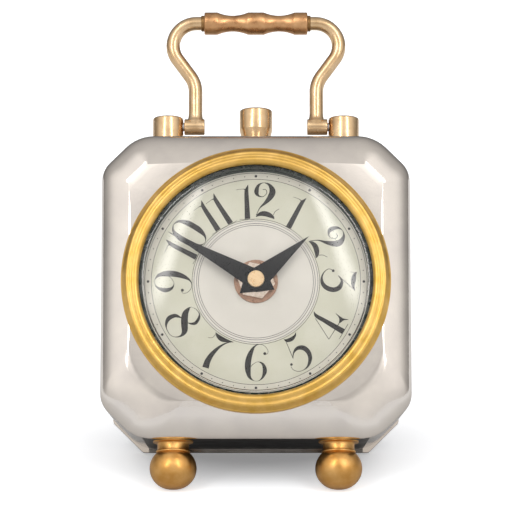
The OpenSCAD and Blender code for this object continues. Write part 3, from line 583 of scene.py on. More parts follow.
# Each round is given by its centre, its radius, and where it starts and ends in degrees.
CREST = arc(45.45, -2.3, 1.75, 180, 305, 20)
SHOULDER = arc(47.75, -2.45, 1.2, 240, 325, 12)
edge_step = eased([(48.9, -2.9), (49.9, -1.4, 0.5), (BEZEL_R, -1.1, 0.25), (BEZEL_R, BEZEL_BACK)])
bezel_section = closed([(POCKET_R, BEZEL_BACK), (POCKET_R, GLASS_Y)] + CREST + SHOULDER
                       + edge_step)
piece("bezel", turned(bezel_section, 160, "dial"), "case", BEZEL_BRASS, "brass", "bezel_ring",
      sharp=50)

# %% [markdown]
# The crystal is a shallow dome of real thickness, so its edge bends the light as glass does.
# Both faces are parts of spheres round one centre. A flat rim round them fills the pocket.

# %% Crystal
GLASS_R = 45
GLASS_T = 1.6
DOME_EDGE = BEZEL_IN - 0.5
DOME = 6.5
LEDGE = 0.2
DOME_R = (DOME_EDGE ** 2 + DOME ** 2) / (2 * DOME)


def dome(radius, steps=28):
    centre_y = GLASS_Y - DOME + DOME_R
    top = math.asin(DOME_EDGE / radius)
    return [(radius * math.sin(top * k / steps), centre_y - radius * math.cos(top * k / steps))
            for k in range(steps + 1)]


rim_back = GLASS_Y + GLASS_T
inside = [p for p in dome(DOME_R - GLASS_T) if p[1] < rim_back]
glass_section = (dome(DOME_R) + [(GLASS_R, GLASS_Y), (GLASS_R, rim_back)]
                 + [(inside[-1][0] + LEDGE, rim_back)] + inside[::-1])
piece("crystal", turned(glass_section, 128, "dial"), "case", SLOTS["glass"], "glass",
      "domed_glass", sharp=40)

# %% [markdown]
# Between the glass and the dial lies a dark enamelled ring. It keeps them apart, and seen
# through the glass it makes the shadow that frames the dial. Its inner wall opens a little
# to the front, as a cone, so that the wall can be seen all round.

# %% Ring round the dial
DIAL_Y = 3.2
RING_IN = 41.9
FLARE = 0.8
ring_section = closed([(RING_IN + FLARE, rim_back), (GLASS_R, rim_back), (GLASS_R, DIAL_Y),
                       (RING_IN, DIAL_Y)])
piece("dial_surround", turned(ring_section, 128, "dial"), "case", SLOTS["ring_green"],
      "ring_green", "dial_ring")

# %% [markdown]
# The dial is printed card. Its middle is a pale cream, the chapter ring round it a greener
# one, and the minute track between the two. Age has left all three a little blotchy. The
# colours change with the distance from the centre, so the material first moves into the
# dial's own frame, in millimetres.

# %% Card for the dial
INNER_RING = 23.5
TRACK_IN = 39
TRACK_OUT = 41.4
PRINT_BLUR = 0.1
BLOTCH_MM = 12
FIBRE_MM = 0.35
FIBRE_HEIGHT = 0.01
# Where each zone starts, and its two tones.
ZONES = (
    (0, "#CAC6BC", "#D1CDC3"),
    (INNER_RING, "#BFBEAA", "#C7C6B5"),
    (TRACK_IN, "#C4C0B1", "#CCC8BA"),
)


# Card, printed and not varnished: soft and matt, with a fine fibre.
def dial_card():
    material, tree, shader = finish("card_printed_cream", "#E3E0CF", Roughness=0.6)
    place = add(tree, "ShaderNodeTexCoord").outputs["Object"]
    own = add(tree, "ShaderNodeMapping", {
        "Vector": place, "Location": -(Matrix.Rotation(LEAN, 3, "X") @ CENTRE),
        "Rotation": (LEAN, 0, 0)}).outputs["Vector"]
    flat = add(tree, "ShaderNodeVectorMath", {0: own, 1: (1 / MM, 0, 1 / MM)},
               operation="MULTIPLY").outputs["Vector"]
    radius = add(tree, "ShaderNodeVectorMath", {0: flat}, operation="LENGTH").outputs["Value"]
    blotch = add(tree, "ShaderNodeMapRange", {
        "Value": grain(tree, BLOTCH_MM), "From Min": NOISE_MIDDLE[0],
        "From Max": NOISE_MIDDLE[1]}).outputs["Result"]
    shown = colour(ZONES[0][1])
    for start, dark, light in ZONES:
        tone = add(tree, "ShaderNodeMix", {"Factor": blotch, ONE: colour(dark),
                                           OTHER: colour(light)}, data_type="RGBA")
        beyond = add(tree, "ShaderNodeMapRange", {"Value": radius, "From Min": start - PRINT_BLUR,
                                                  "From Max": start + PRINT_BLUR})
        shown = add(tree, "ShaderNodeMix", {"Factor": beyond.outputs["Result"], ONE: shown,
                                            OTHER: tone.outputs[MIXED]},
                    data_type="RGBA").outputs[MIXED]
    fibre = add(tree, "ShaderNodeBump", {"Height": grain(tree, FIBRE_MM),
                                         "Distance": FIBRE_HEIGHT * MM})
    tree.links.new(shown, shader.inputs["Base Color"])
    tree.links.new(fibre.outputs["Normal"], shader.inputs["Normal"])
    return material


DIAL_CARD = dial_card()

# %% Dial
DIAL_T = 0.8
BUSH_R = 4
DIAL_HOLE = BUSH_R + 0.1
dial_section = closed([(DIAL_HOLE, DIAL_Y), (INNER_RING, DIAL_Y), (TRACK_IN, DIAL_Y),
                       (GLASS_R, DIAL_Y), (GLASS_R, DIAL_Y + DIAL_T), (DIAL_HOLE, DIAL_Y + DIAL_T)])
piece("dial", turned(dial_section, 128, "dial"), "case", DIAL_CARD, "dial_card", "dial_plate")

# %% [markdown]
# The print lies on the card as a film of ink: fine circles, and a dot for each minute with a
# larger one at each hour. Circles and dots are turned, as rings and small discs, so that the
# print is geometry as sharp as real print.

# %% Ink
# Printing ink on card: nearly black, matt, and without any height of its own.
INK = plain("ink_black_printed", "#1B1918", "#282523", 0.6, 0.5, height=0, shine=0.1)
INK_TOP = DIAL_Y - 0.03
INK_LOW = DIAL_Y + 0.1


def ink_circle(radius, width):
    section = closed([(radius - width / 2, INK_LOW), (radius - width / 2, INK_TOP),
                      (radius + width / 2, INK_TOP), (radius + width / 2, INK_LOW)])
    return turned(section, 160, "dial")


def ink_dot(radius, x, z, steps=10):
    bm = turned([(0, INK_TOP), (radius, INK_TOP), (radius, INK_LOW), (0, INK_LOW)], steps, "dial")
    bmesh.ops.translate(bm, vec=(x, 0, z), verts=bm.verts)
    return bm


# %% Circles and minute track
FINE_CIRCLES = (TRACK_IN, TRACK_OUT, 23.8, 23.1, 22.1, 21.4)
LINE_W = 0.16
DOT_TRACK = 40.2
HOUR_DOT = 0.5
MINUTE_DOT = 0.2
circles = [ink_circle(radius, LINE_W) for radius in FINE_CIRCLES]
dots = []
for minute in range(60):
    a = math.radians(6 * minute)
    dots.append(ink_dot(MINUTE_DOT if minute % 5 else HOUR_DOT, DOT_TRACK * math.sin(a),
                        DOT_TRACK * math.cos(a)))
piece("dial_track", joined(*circles, *dots), "case", INK, "hand_black")

# %% [markdown]
# The numerals look as if a broad pen had drawn them: hairlines that swell to bold strokes.
# Each figure is a few strokes, and a stroke is a list of points with their place across, their
# height, and half the pen's width there. A stroke of one point is a round dot. A curve
# with a changing radius draws the stroke, and is then pressed flat on the card.

# %% Strokes of the numerals
HAIR = 0.1
STROKES = {
    "0": [[(0, 13.8, 0.09), (2.1, 12.6, 0.45), (3.1, 9.6, 1.0), (3.2, 7, 1.05), (3.0, 4.2, 1.0),
           (2.0, 1.3, 0.4), (0, 0.1, 0.09), (-2.0, 1.3, 0.4), (-3.0, 4.2, 1.0), (-3.2, 7, 1.05),
           (-3.1, 9.6, 1.0), (-2.1, 12.6, 0.45), (0, 13.8, 0.09)]],
    "1": [[(0.25, 0.1, 1.05), (0.05, 5, 0.92), (-0.15, 10.4, 0.75), (0.1, 11.8, 0.5),
           (0.45, 13.2, 0.06)], [(-0.5, 11.2, 0.3), (-1.5, 11.5, HAIR), (-4, 11.2, 0.08)],
          [(-2.6, -0.1, 0.08), (2.8, -0.1, 0.08)]],
    "2": [[(-0.9, 11.3, HAIR), (0.3, 11.2, 0.13), (0.6, 9.9, 0.13), (-0.7, 8.6, 0.12),
           (-2.4, 8.9, 0.35), (-3.2, 10.4, 0.85), (-2.5, 12.8, 0.5), (-0.6, 13.9, HAIR),
           (1.6, 13.1, 0.5), (2.8, 10.7, 1.15), (2.0, 8.5, 1.05), (0.2, 6.3, 0.6),
           (-1.9, 4.3, 0.2), (-3.3, 1.5, HAIR)],
          [(-3.4, 0.9, 0.1), (-2.3, 1.7, 0.6), (-0.7, 2.1, 0.95), (1.2, 1.7, 0.95),
           (2.8, 0.8, 0.6), (3.4, 0, 0.1)],
          [(3.1, 1.6, 0.12), (3.8, 2.9, HAIR), (5.3, 3.9, 0.09)]],
    "3": [[(-4.1, 5, 0.53)],
          [(-4.2, 5, HAIR), (-4.8, 3.3, 0.12), (-3.4, 1.5, 0.2), (-1.2, 0.7, 0.4),
           (1.2, 1.3, 0.75), (2.7, 3.2, 0.9), (3.1, 5.4, 0.9), (2.2, 7.3, 0.85), (0.2, 8.2, 0.5),
           (-1.2, 7.8, 0.28), (-2.3, 6.8, HAIR)], [(-2.3, 6.8, HAIR), (3.3, 13, HAIR)],
          [(3.4, 13.1, 0.1), (1.6, 12.4, 0.55), (-0.8, 12.6, 0.9), (-2.6, 13.0, 0.6),
           (-3.6, 13.8, 0.1)], [(-3.4, 13, HAIR), (-3.7, 11.2, 0.08)]],
    "4": [[(0.9, 13.2, 0.1), (-0.05, 11.6, 0.65), (-0.1, 8.2, 0.8), (-0.15, 4.6, 0.95),
           (-0.2, 0, 1.07)], [(-1.1, 11.4, 0.11), (-5.4, 3.2, 0.11)], [(-5.4, 3.2, HAIR),
           (1.8, 2.9, 0.15)],
          [(4.4, 5.9, 0.08), (3.9, 4.1, 0.3), (3.3, 2.95, 0.72), (1.9, 2.9, 0.2)],
          [(4.7, 0.6, 0.08), (4.0, 1.9, 0.3), (3.3, 2.95, 0.72)],
          [(3.2, -0.1, HAIR), (-3.4, -0.1, HAIR)]],
    "5": [[(-1.9, 13.4, 0.1), (-1.2, 12.5, 0.6), (0.5, 12.1, 0.75), (2.3, 12.6, 0.4),
           (3.1, 13.5, 0.1)],
          [(-1.7, 12.4, 0.12), (-2.6, 5.6, 0.12)], [(-2.7, 5.4, HAIR), (-1.4, 7.2, 0.27),
           (0.7, 8.0, 0.67), (2.7, 7.0, 0.9), (3.5, 4.7, 0.85), (2.8, 2.2, 0.72), (0.8, 0.3, 0.4),
           (-1.3, -0.2, 0.13), (-3.4, 0.3, HAIR), (-4.7, 1.8, HAIR), (-4.8, 3.2, HAIR)],
          [(-4.3, 3.8, 0.5)]],
    "6": [[(3.3, 10.3, 0.55)], [(3.6, 10.0, HAIR), (4.35, 10.4, 0.08), (4.4, 11.6, 0.09),
           (3.2, 13.2, 0.09), (1.3, 13.8, HAIR), (-0.5, 13, 0.3), (-1.85, 10.8, 0.8),
           (-2.8, 7.8, 1.1), (-3, 4.6, 1.1), (-2.4, 1.6, 0.6), (-0.8, 0.1, HAIR), (1.05, 0.1, HAIR),
           (2.5, 1.4, 0.4), (3.3, 3.8, 0.8), (2.65, 6.2, 0.5), (0.9, 7.2, HAIR), (-0.8, 6.5, HAIR),
           (-1.9, 5.4, HAIR)]],
    "7": [[(0.1, 0, 1.25), (-0.5, 2.8, 1.08), (-0.3, 6.1, 0.8), (0.8, 9.7, 0.42), (2.4, 12.2, 0.2),
           (4.2, 13.6, 0.08)], [(4.2, 13.5, 0.1), (2.3, 12.9, 0.5), (0.2, 12.4, 0.92),
           (-1.7, 12.6, 0.72), (-3.3, 13.4, 0.12)], [(-3.0, 12.7, HAIR), (-3.4, 11.1, 0.08),
           (-4.8, 10.3, 0.08)]],
    "8": [[(-2.2, 13.0, HAIR), (-3.7, 11.7, HAIR), (-3.4, 10.3, 0.67), (-2.5, 8.7, 1.15),
           (-1.0, 7.5, 1.28), (1.1, 6.3, 1.25), (3.0, 5.2, 1.05), (3.9, 3.3, 0.4), (3.2, 1.1, 0.12),
           (1.5, -0.1, HAIR), (-1.1, -0.1, 0.15), (-2.9, 0.8, 0.48), (-4.1, 2.6, 0.8),
           (-3.9, 4.9, 0.7), (-2.9, 6.0, 0.45), (-1.8, 6.7, HAIR)],
          [(-2.2, 13.0, HAIR), (-0.1, 13.3, 0.18), (1.4, 12.3, 0.48), (2.4, 10.3, 0.6),
           (1.9, 8.9, 0.4), (0.9, 7.8, HAIR)]],
}
STROKES["9"] = [[(-u, 13.9 - v, w) for u, v, w in stroke] for stroke in STROKES["6"]]
print("figures drawn:", "".join(sorted(STROKES)))


# %% Pen strokes
# A smooth path through all points, by the Catmull-Rom formula.
def smooth_path(points, steps=6):
    if len(points) < 3:
        return points
    knots = [Vector(p) for p in [points[0]] + points + [points[-1]]]
    path = []
    for a, b, c, d in zip(knots, knots[1:], knots[2:], knots[3:]):
        for k in range(steps):
            t = k / steps
            path.append(0.5 * (2 * b + (c - a) * t + (2 * a - 5 * b + 4 * c - d) * t * t
                               + (3 * b - a - 3 * c + d) * t ** 3))
    return path + [knots[-1]]


# A round bar along points that each carry a radius.
def swept(points, smooth=6):
    curve = bpy.data.curves.new("bar", "CURVE")
    curve.dimensions = "3D"
    curve.bevel_depth = 1
    curve.bevel_resolution = smooth
    curve.use_fill_caps = True
    line = curve.splines.new("POLY")
    line.points.add(len(points) - 1)
    for target, (x, y, z, radius) in zip(line.points, points):
        target.co = (x, y, z, 1)
        target.radius = radius
    holder = bpy.data.objects.new("bar", curve)
    bm = bmesh.new()
    bm.from_mesh(holder.to_mesh())
    holder.to_mesh_clear()
    bpy.data.objects.remove(holder)
    bpy.data.curves.remove(curve)
    bmesh.ops.remove_doubles(bm, verts=bm.verts, dist=SAME_MM)
    return bm


# %% Figures
BOLD = 1.14
PRESSED = 0.03


def digit_mesh(figure):
    parts = []
    for stroke in STROKES[figure]:
        if len(stroke) == 1:
            u, v, width = stroke[0]
            parts.append(ink_dot(width, u, v, 16))
            continue
        bar = swept([(u, 0, v, w * BOLD) for u, v, w in smooth_path(stroke)], 1)
        bmesh.ops.scale(bar, vec=(1, PRESSED, 1), verts=bar.verts)
        bmesh.ops.translate(bar, vec=(0, DIAL_Y, 0), verts=bar.verts)
        parts.append(bar)
    return joined(*parts)


# %% [markdown]
# All numerals stand on circles. Those from 9 to 3 have their feet on the inner circle, and
# those from 4 to 8 have them on the outer one, so that none is read upside down.

# %% Numerals
FEET_IN = 23.8
FEET_OUT = 37.6
APART = {"10": 3.4, "11": 2.65, "12": 3.4}
parts = []
for hour in range(1, 13):
    figures = str(hour)
    outward = not 4 <= hour <= 8
    for place, figure in enumerate(figures):
        part = digit_mesh(figure)
        aside = APART[figures] * (2 * place - 1) if len(figures) == 2 else 0
        rise = FEET_IN if outward else -FEET_OUT
        bmesh.ops.translate(part, vec=(aside, 0, rise), verts=part.verts)
        angle = math.radians(30 * hour + (0 if outward else 180))
        bmesh.ops.rotate(part, verts=part.verts, matrix=Matrix.Rotation(angle, 3, "Y"))
        parts.append(part)
piece("dial_numerals", joined(*parts), "case", INK, "hand_black")

# %% [markdown]
# The hub is a stamped washer under a hexagon nut. Together they hold the movement's threaded
# bush to the dial. The washer is turned. The nut is cut from hexagon bar, so it starts as a
# cylinder of six sides, whose edges are then bevelled.

# %% Washer
WASHER_R = 8.2
WASHER_T = 0.5
washer_y = DIAL_Y - WASHER_T
washer_section = closed(eased([(DIAL_HOLE, washer_y), (WASHER_R, washer_y, 0.15),
                               (WASHER_R, DIAL_Y), (DIAL_HOLE, DIAL_Y)]))
piece("hub_washer", turned(washer_section, 96, "dial"), "case", WASHER_COPPER, "nickel",
      "dial_washer")

# %% Nut
NUT_AF = 12.7
NUT_T = 2.2
NUT_TURN = math.radians(-11.5)
NUT_BEVEL = 0.3
nut_front = washer_y - NUT_T


def nut_mesh():
    bm = bmesh.new()
    outer = NUT_AF / 2 / math.cos(math.radians(30))
    bmesh.ops.create_cone(bm, segments=6, radius1=outer, radius2=outer, depth=NUT_T, cap_ends=True)
    bmesh.ops.rotate(bm, verts=bm.verts,
                     matrix=Matrix.Rotation(math.radians(-90) + NUT_TURN, 3, "Z"))
    bmesh.ops.transform(bm, matrix=Matrix.Translation((0, nut_front + NUT_T / 2, 0)) @ AXES["dial"],
                        verts=bm.verts)
    bmesh.ops.bevel(bm, geom=bm.edges[:], offset=NUT_BEVEL, segments=2, affect="EDGES",
                    profile=0.5, material=-1)
    return bm


piece("hub_nut", nut_mesh(), "case", NUT_NICKEL, "nickel", "hex_nut", "threaded_bush")

# %% [markdown]
# The hands are stamped from thin sheet and lacquered black. Each is a long kite, widest just
# behind the hub, with a round boss under the brass cap. A kite is one face of four corners
# that is extruded to the sheet's thickness, and its front edges get a fine bevel.

# %% Hands
HAND_T = 0.3
HAND_BEVEL = 0.1
BOSS_PROUD = 0.03
TAIL = 7.9
CAP_R = 3.15
GAP_UNDER_HOURS = 0.4
GAP_BETWEEN = 0.45
hour_y = nut_front - GAP_UNDER_HOURS - HAND_T
minute_y = hour_y - GAP_BETWEEN - HAND_T


def hand_mesh(length, half, wide_at, angle, front, boss_r):
    bm = bmesh.new()
    corners = [(0, length), (half, wide_at), (0, -TAIL), (-half, wide_at)]
    face = bm.faces.new([bm.verts.new((x, front + HAND_T, z)) for x, z in corners])
    grown = bmesh.ops.extrude_face_region(bm, geom=[face])
    top = [v for v in grown["geom"] if isinstance(v, bmesh.types.BMVert)]
    bmesh.ops.translate(bm, vec=(0, -HAND_T, 0), verts=top)
    edges = [e for e in bm.edges if all(v.co.y < front + SAME_MM for v in e.verts)]
    bmesh.ops.bevel(bm, geom=edges, offset=HAND_BEVEL, segments=2, affect="EDGES", profile=0.5,
                    material=-1)
    bmesh.ops.rotate(bm, verts=bm.verts, matrix=Matrix.Rotation(math.radians(angle), 3, "Y"))
    boss_y = front - BOSS_PROUD
    boss = turned(eased([(0, boss_y), (boss_r, boss_y, 0.1), (boss_r, front + HAND_T),
                         (0, front + HAND_T)]), 48, "dial")
    return joined(bm, boss)


hour_kite = hand_mesh(length=25.8, half=4.6, wide_at=-1.2, angle=50, front=hour_y,
                      boss_r=CAP_R + 1.4)
minute_kite = hand_mesh(length=37.5, half=4.1, wide_at=-2.5, angle=299, front=minute_y,
                        boss_r=CAP_R + 0.9)
piece("hand_hours", hour_kite, "hour_train", SLOTS["hand_black"], "hand_black", "hour_hand")
piece("hand_minutes", minute_kite, "minute_train", SLOTS["hand_black"], "hand_black",
      "minute_hand")

# %% [markdown]
# A brass cap is pressed on the end of the minute arbor and keeps the hands on. It is a
# turned button with one soft edge and a face that is very slightly raised.

# %% Cap on the hands
CAP_H = 1.7
cap_front = minute_y - CAP_H
cap_section = eased([(0, minute_y), (CAP_R, minute_y), (CAP_R, cap_front + 0.05, 0.35),
                     (CAP_R - 1.6, cap_front, 0.5), (0, cap_front)])
piece("hand_hub", turned(cap_section, 64, "dial"), "minute_train", CAP_BRASS, "brass", "hand_cap")

# %% [markdown]
# Each foot is turned from one brass bar: a ball, slightly wider than it is tall, a fine
# bead, a short neck and a thin flared flange, which sits a little behind the case's lower
# lip. The balls rest on the table, so after the foot is in place, a cut at the table's
# height takes off the sliver below it and the hole is filled with a flat.

# %% Section of a foot
# The heights are measured up from the ball's centre.
BALL_R = 7.8
BALL_WIDE = 1.0
NECK_R = 5.9
FLANGE_R = 7.5
FOOT_H = 10.7
ball = [(0, -BALL_R)] + arc(BALL_WIDE, 0, BALL_R, -90, 53, 40)
bead = arc(NECK_R, 6.3, 0.5, -60, 80, 10)
neck = eased([(NECK_R, 6.95), (NECK_R, 9.4, 0.6), (FLANGE_R, 9.75, 0.1), (FLANGE_R, FOOT_H),
              (0, FOOT_H)])

# %% Feet
FOOT_X = 30.9
FOOT_Y = 14.5
UNDER_Z = CASE_MIDDLE - CASE_HALF
BALL_DROP = 9.9
BALL_Z = UNDER_Z - BALL_DROP
SAME_M = 1e-7


def foot_mesh(side):
    bm = turned(ball + bead + neck, 96, "up", (side * FOOT_X, FOOT_Y, BALL_Z))
    bmesh.ops.transform(bm, matrix=CLOCK, verts=bm.verts)
    cut = bmesh.ops.bisect_plane(bm, geom=bm.verts[:] + bm.edges[:] + bm.faces[:], dist=SAME_M,
                                 plane_co=(0, 0, 0), plane_no=(0, 0, -1), clear_outer=True)
    rim = [e for e in cut["geom_cut"] if isinstance(e, bmesh.types.BMEdge)]
    bmesh.ops.holes_fill(bm, edges=rim)
    return bm


SIDES = ((-1, "left"), (1, "right"))
for side, side_name in SIDES:
    placed("ball_foot_" + side_name, foot_mesh(side), "case", FOOT_BRASS, "brass",
           "foot_" + side_name, sharp=40)

# %% [markdown]
# The handle stands on two short posts in the middle of the case's depth. The posts are
# plain turned brass with a softly rounded top edge. The lowest two millimetres are a hair
# thinner, and go down into a level seat that is cut in the sloping top of the case.

# %% Posts
POST_FOOT_H = 2
POST_FULL_H = 4
MID_Y = 31
TOP_Z = CASE_MIDDLE + CASE_HALF - DRAFT * (MID_Y - EDGE_D) / (CASE_DEPTH - EDGE_D)
POST_X = 33.7
POST_R = 5.85
POST_H = 13.9
POST_FOOT_R = POST_R - 0.1
SEAT = 0.65
post_section = eased([(0, -SEAT), (POST_FOOT_R, -SEAT), (POST_FOOT_R, POST_FOOT_H),
                      (POST_R, POST_FULL_H), (POST_R, POST_H, 0.7), (0, POST_H)])
for side, side_name in SIDES:
    piece("handle_post_" + side_name, turned(post_section, 96, "up", (side * POST_X, MID_Y, TOP_Z)),
          "case", PALE_BRASS, "pale_brass", "post_" + side_name, sharp=40)

# %% [markdown]
# Each arm of the handle is a round bar that rises from a barrel on the pivot, swings
# outwards, and bends over into the grip. Two arcs make the path: the low bend turns the bar
# outwards by the slant, and the top bend brings it back and over. The low bend's height is
# worked out so that the straight between them has just that slant.

# %% Path of an arm
PIVOT_Z = TOP_Z + 10.5
LEG_X = 23.2
LEG_R = 2.65
# The radius of each bend, and the slant in degrees.
LOW_BEND = 11
TOP_BEND = 9
SLANT = 36
# The grip's height over the pivot, and half its length with the collars.
GRIP_H = 41.1
GRIP_HALF = 20.6
arch_x = LEG_X - 0.3
arch_z = GRIP_H - TOP_BEND
tilt = math.radians(SLANT)
across = LEG_X - arch_x + LOW_BEND - (LOW_BEND + TOP_BEND) * math.cos(tilt)
low_z = arch_z - (LOW_BEND + TOP_BEND) * math.sin(tilt) + across / math.tan(tilt)
# Each point is the place across, the height over the pivot, and the bar's radius there. The
# bar swells where it is brazed to the barrel.
arm_path = [(LEG_X, 0.4, 3.0), (LEG_X, 2.2, 3.5), (LEG_X, 3.0, 3.0), (LEG_X, 3.9, 2.75),
            (LEG_X, 5.2, LEG_R)]
arm_path += [(x, z, LEG_R)
             for x, z in arc(LEG_X + LOW_BEND, low_z, LOW_BEND, 180, 180 - SLANT, 14)]
arm_path += [(x, z, LEG_R) for x, z in arc(arch_x, arch_z, TOP_BEND, -SLANT, 90, 36)]
arm_path.append((GRIP_HALF - 1, GRIP_H, LEG_R))
print("points along an arm:", len(arm_path))

# %% Handle arms
BARREL_R = 3.1
BARREL_IN = LEG_X - LEG_R - 0.9
BARREL_OUT = POST_X - POST_R - 0.4


def arm_mesh(side):
    bar = swept([(x, MID_Y, PIVOT_Z + z, r) for x, z, r in arm_path])
    section = eased([(0, BARREL_IN), (BARREL_R, BARREL_IN, 0.4), (BARREL_R, BARREL_OUT, 0.4),
                     (0, BARREL_OUT)])
    bm = joined(bar, turned(section, 64, "across", (0, MID_Y, PIVOT_Z)))
    bmesh.ops.scale(bm, vec=(side, 1, 1), verts=bm.verts)
    return bm


for side, side_name in SIDES:
    piece("arm_" + side_name, arm_mesh(side), "handle", PALE_BRASS, "pale_brass",
          "handle_arm_" + side_name, sharp=40)

# %% [markdown]
# The grip is turned like a short spindle: a thick bead at each end, a swell in the middle
# and a hollow waist on each side of it. The waist is cut as one smooth curve, here a
# parabola, so that the light runs along it without a break.

# %% Grip
GRIP_R = 4.35
WAIST_R = 3.1
WAIST_STEPS = 24
END_LEN = 5
MID_LEN = 6
grip_end = GRIP_HALF - 0.7
waist_from = MID_LEN / 2
waist_len = grip_end - END_LEN - waist_from
waist = []
for k in range(WAIST_STEPS + 1):
    share = k / WAIST_STEPS
    waist.append((WAIST_R + (GRIP_R - WAIST_R) * (2 * share - 1) ** 2,
                  waist_from + waist_len * share))
end = eased([(GRIP_R, grip_end - END_LEN), (GRIP_R, grip_end, 0.5), (0, grip_end)])
right_half = waist + [tuple(p) for p in end[1:]]
grip_section = [(r, -x) for r, x in right_half[::-1]] + right_half
piece("grip", turned(grip_section, 96, "across", (0, MID_Y, PIVOT_Z + GRIP_H)), "handle",
      GRIP_BRASS, "pale_brass", "handle_grip", sharp=40)

# %% [markdown]
# A thin collar parts the grip from each arm. Polish never gets down between the two, so it
# has stayed dark. One is turned, and its mirror image makes the other.

# %% Collars
COLLAR_R = LEG_R + 0.45
COLLAR_OUT = grip_end + 1.2


def collar_mesh(side):
    section = eased([(0, grip_end), (COLLAR_R, grip_end), (COLLAR_R, COLLAR_OUT, 0.2),
                     (0, COLLAR_OUT)])
    bm = turned(section, 48, "across", (0, MID_Y, PIVOT_Z + GRIP_H))
    bmesh.ops.scale(bm, vec=(side, 1, 1), verts=bm.verts)
    return bm


piece("grip_rings", joined(collar_mesh(-1), collar_mesh(1)), "handle", AGED_BRASS, "aged_brass",
      "grip_collars")

# %% [markdown]
# The push button between the posts has a tapered skirt and a plain cylindrical head. It
# slides in a flanged bush, on a stem that runs down into the case and has a groove for the
# clip that keeps it in. From below, the head is hollow for the spring. Both pieces are
# turned, with heights measured from the case's top.

# %% Button
STEM_R = 2
STEM_LOW = -11
GROOVE = (-8.1, -7.1)
GROOVE_R = 1.6
HOLLOW_R = 4.1
SPRING_TOP = 10.4
SKIRT_R = 5.3
SKIRT = (5.2, 9.2)
HEAD_R = 6.3
HEAD_TOP = 17
head_section = eased([(0, STEM_LOW), (STEM_R, STEM_LOW), (STEM_R, GROOVE[0]),
                      (GROOVE_R, GROOVE[0]), (GROOVE_R, GROOVE[1]), (STEM_R, GROOVE[1]),
                      (STEM_R, SPRING_TOP), (HOLLOW_R, SPRING_TOP), (HOLLOW_R, SKIRT[0]),
                      (SKIRT_R, SKIRT[0], 0.3), (HEAD_R, SKIRT[1], 0.5),
                      (HEAD_R, HEAD_TOP, 0.8), (0, HEAD_TOP)])
piece("push_button", turned(head_section, 96, "up", (0, MID_Y, TOP_Z)), "button", PALE_BRASS,
      "pale_brass", "button_head", sharp=40)

# %% Bush of the button
SPRING_SEAT = 2.6
BORE_R = STEM_R + 0.05
THREAD_R = 4
THREAD_LOW = -7
BUSH_FLANGE_R = 6.2
BUSH_FLANGE_TOP = 1.2
bush_section = closed(eased([
    (BORE_R, THREAD_LOW), (THREAD_R, THREAD_LOW), (THREAD_R, -SEAT), (BUSH_FLANGE_R, -SEAT),
    (BUSH_FLANGE_R, BUSH_FLANGE_TOP, 0.3), (THREAD_R, BUSH_FLANGE_TOP), (THREAD_R, SPRING_SEAT),
    (BORE_R, SPRING_SEAT)]))
piece("push_button_bush", turned(bush_section, 96, "up", (0, MID_Y, TOP_Z)), "case", PALE_BRASS,
      "pale_brass", "button_bush", sharp=40)

# %% [markdown]
# The button's return spring is a coil that gets shorter as the button goes down. Its packed coil is right as it
# is, so a copy of it is taken, with its loose corners merged into one mesh.

# %% Return spring
# Imported meshes are loose triangles in metres; corners closer than this are one corner.
MERGE_M = 2e-6
coil = bmesh.new()
coil.from_mesh(nodes["button_spring"].data)
bmesh.ops.remove_doubles(coil, verts=coil.verts, dist=MERGE_M)
spring = placed("return_spring", coil, "case", SLOTS["steel"], slot_of["button_spring"],
                "button_spring", sharp=60)
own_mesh(spring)

# %% [markdown]
# The back plate, its door, the screws, the door's pull and the setting knob have the right
# shape already and only need their edges eased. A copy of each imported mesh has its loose
# triangles merged into whole faces, and a fine bevel rounds every sharp edge.

# %% Eased copies
EASED = (("back_plate", "case", 0.4), ("back_door", "door", 0.25), ("back_screws", "case", 0.3),
         ("door_pull", "door", 0.1), ("set_knob", "setting_train", 0.15))
for node, body, width_mm in EASED:
    bm = bmesh.new()
    bm.from_mesh(nodes[node].data)
    bmesh.ops.remove_doubles(bm, verts=bm.verts, dist=MERGE_M)
    bmesh.ops.dissolve_limit(bm, angle_limit=math.radians(2), verts=bm.verts, edges=bm.edges)
    made = placed(node + "_eased", bm, body, SLOTS[slot_of[node]], slot_of[node], node)
    bevel = made.modifiers.new("eased_edges", "BEVEL")
    bevel.width = width_mm * MM
    bevel.segments = 2
    bevel.limit_method = "ANGLE"
    bevel.angle_limit = math.radians(40)
    bevel.harden_normals = True

# %% [markdown]
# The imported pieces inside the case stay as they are, and each gets the real finish of its
# slot. Only the dial's card isn't in the list of slots.

# %% Finishes for the pieces that stay
for name, node in nodes.items():
    node.data.materials.clear()
    node.data.materials.append(SLOTS.get(slot_of[name], DIAL_CARD))
print("finished", len(nodes), "packed nodes")

# %% [markdown]
# The clock stands in a pale studio, on a floor of matt paper. Light Path tells what looks at the floor. Where the
# camera does, the floor shines by itself, so that it turns to white while the clock is lit at a plain level. Near
# the clock it shines less, in an oval, and that darker oval is a painted shadow laid over the real one. Metal and
# glass see a painted shade on the floor: a grey oval round the clock and a nearly black one under it, which the
# feet and the underside mirror.

# %% Floor material
PAPER = "#E2E5E9"
# What a step to the side counts in a wide oval and in a narrow one. Both have their middle
# 15 mm behind the origin.
WIDE_OVAL = 0.68
NARROW_OVAL = 1.15
OVAL_SHIFT = (0, -0.015, 0)
# How far from the middle, in metres, the floor's own light starts and stops to grow, and from how much to how
# much. Where it is weaker, near the clock, it leaves a painted shadow over the real one. Mirrors get only a share
# of it.
LIFT_RANGE = (0.022, 0.07)
LIFT = (0.24, 0.64)
MIRRORED_LIFT = 0.2
# The oval of a shade that mirrors see, where it starts and ends to fade, its strength and
# its colour.
MIRRORED_SHADES = (
    (WIDE_OVAL, 0.05, 0.3, 0.6, "#8C8984"),
    (NARROW_OVAL, 0.04, 0.055, 1, "#241F1C"),
)


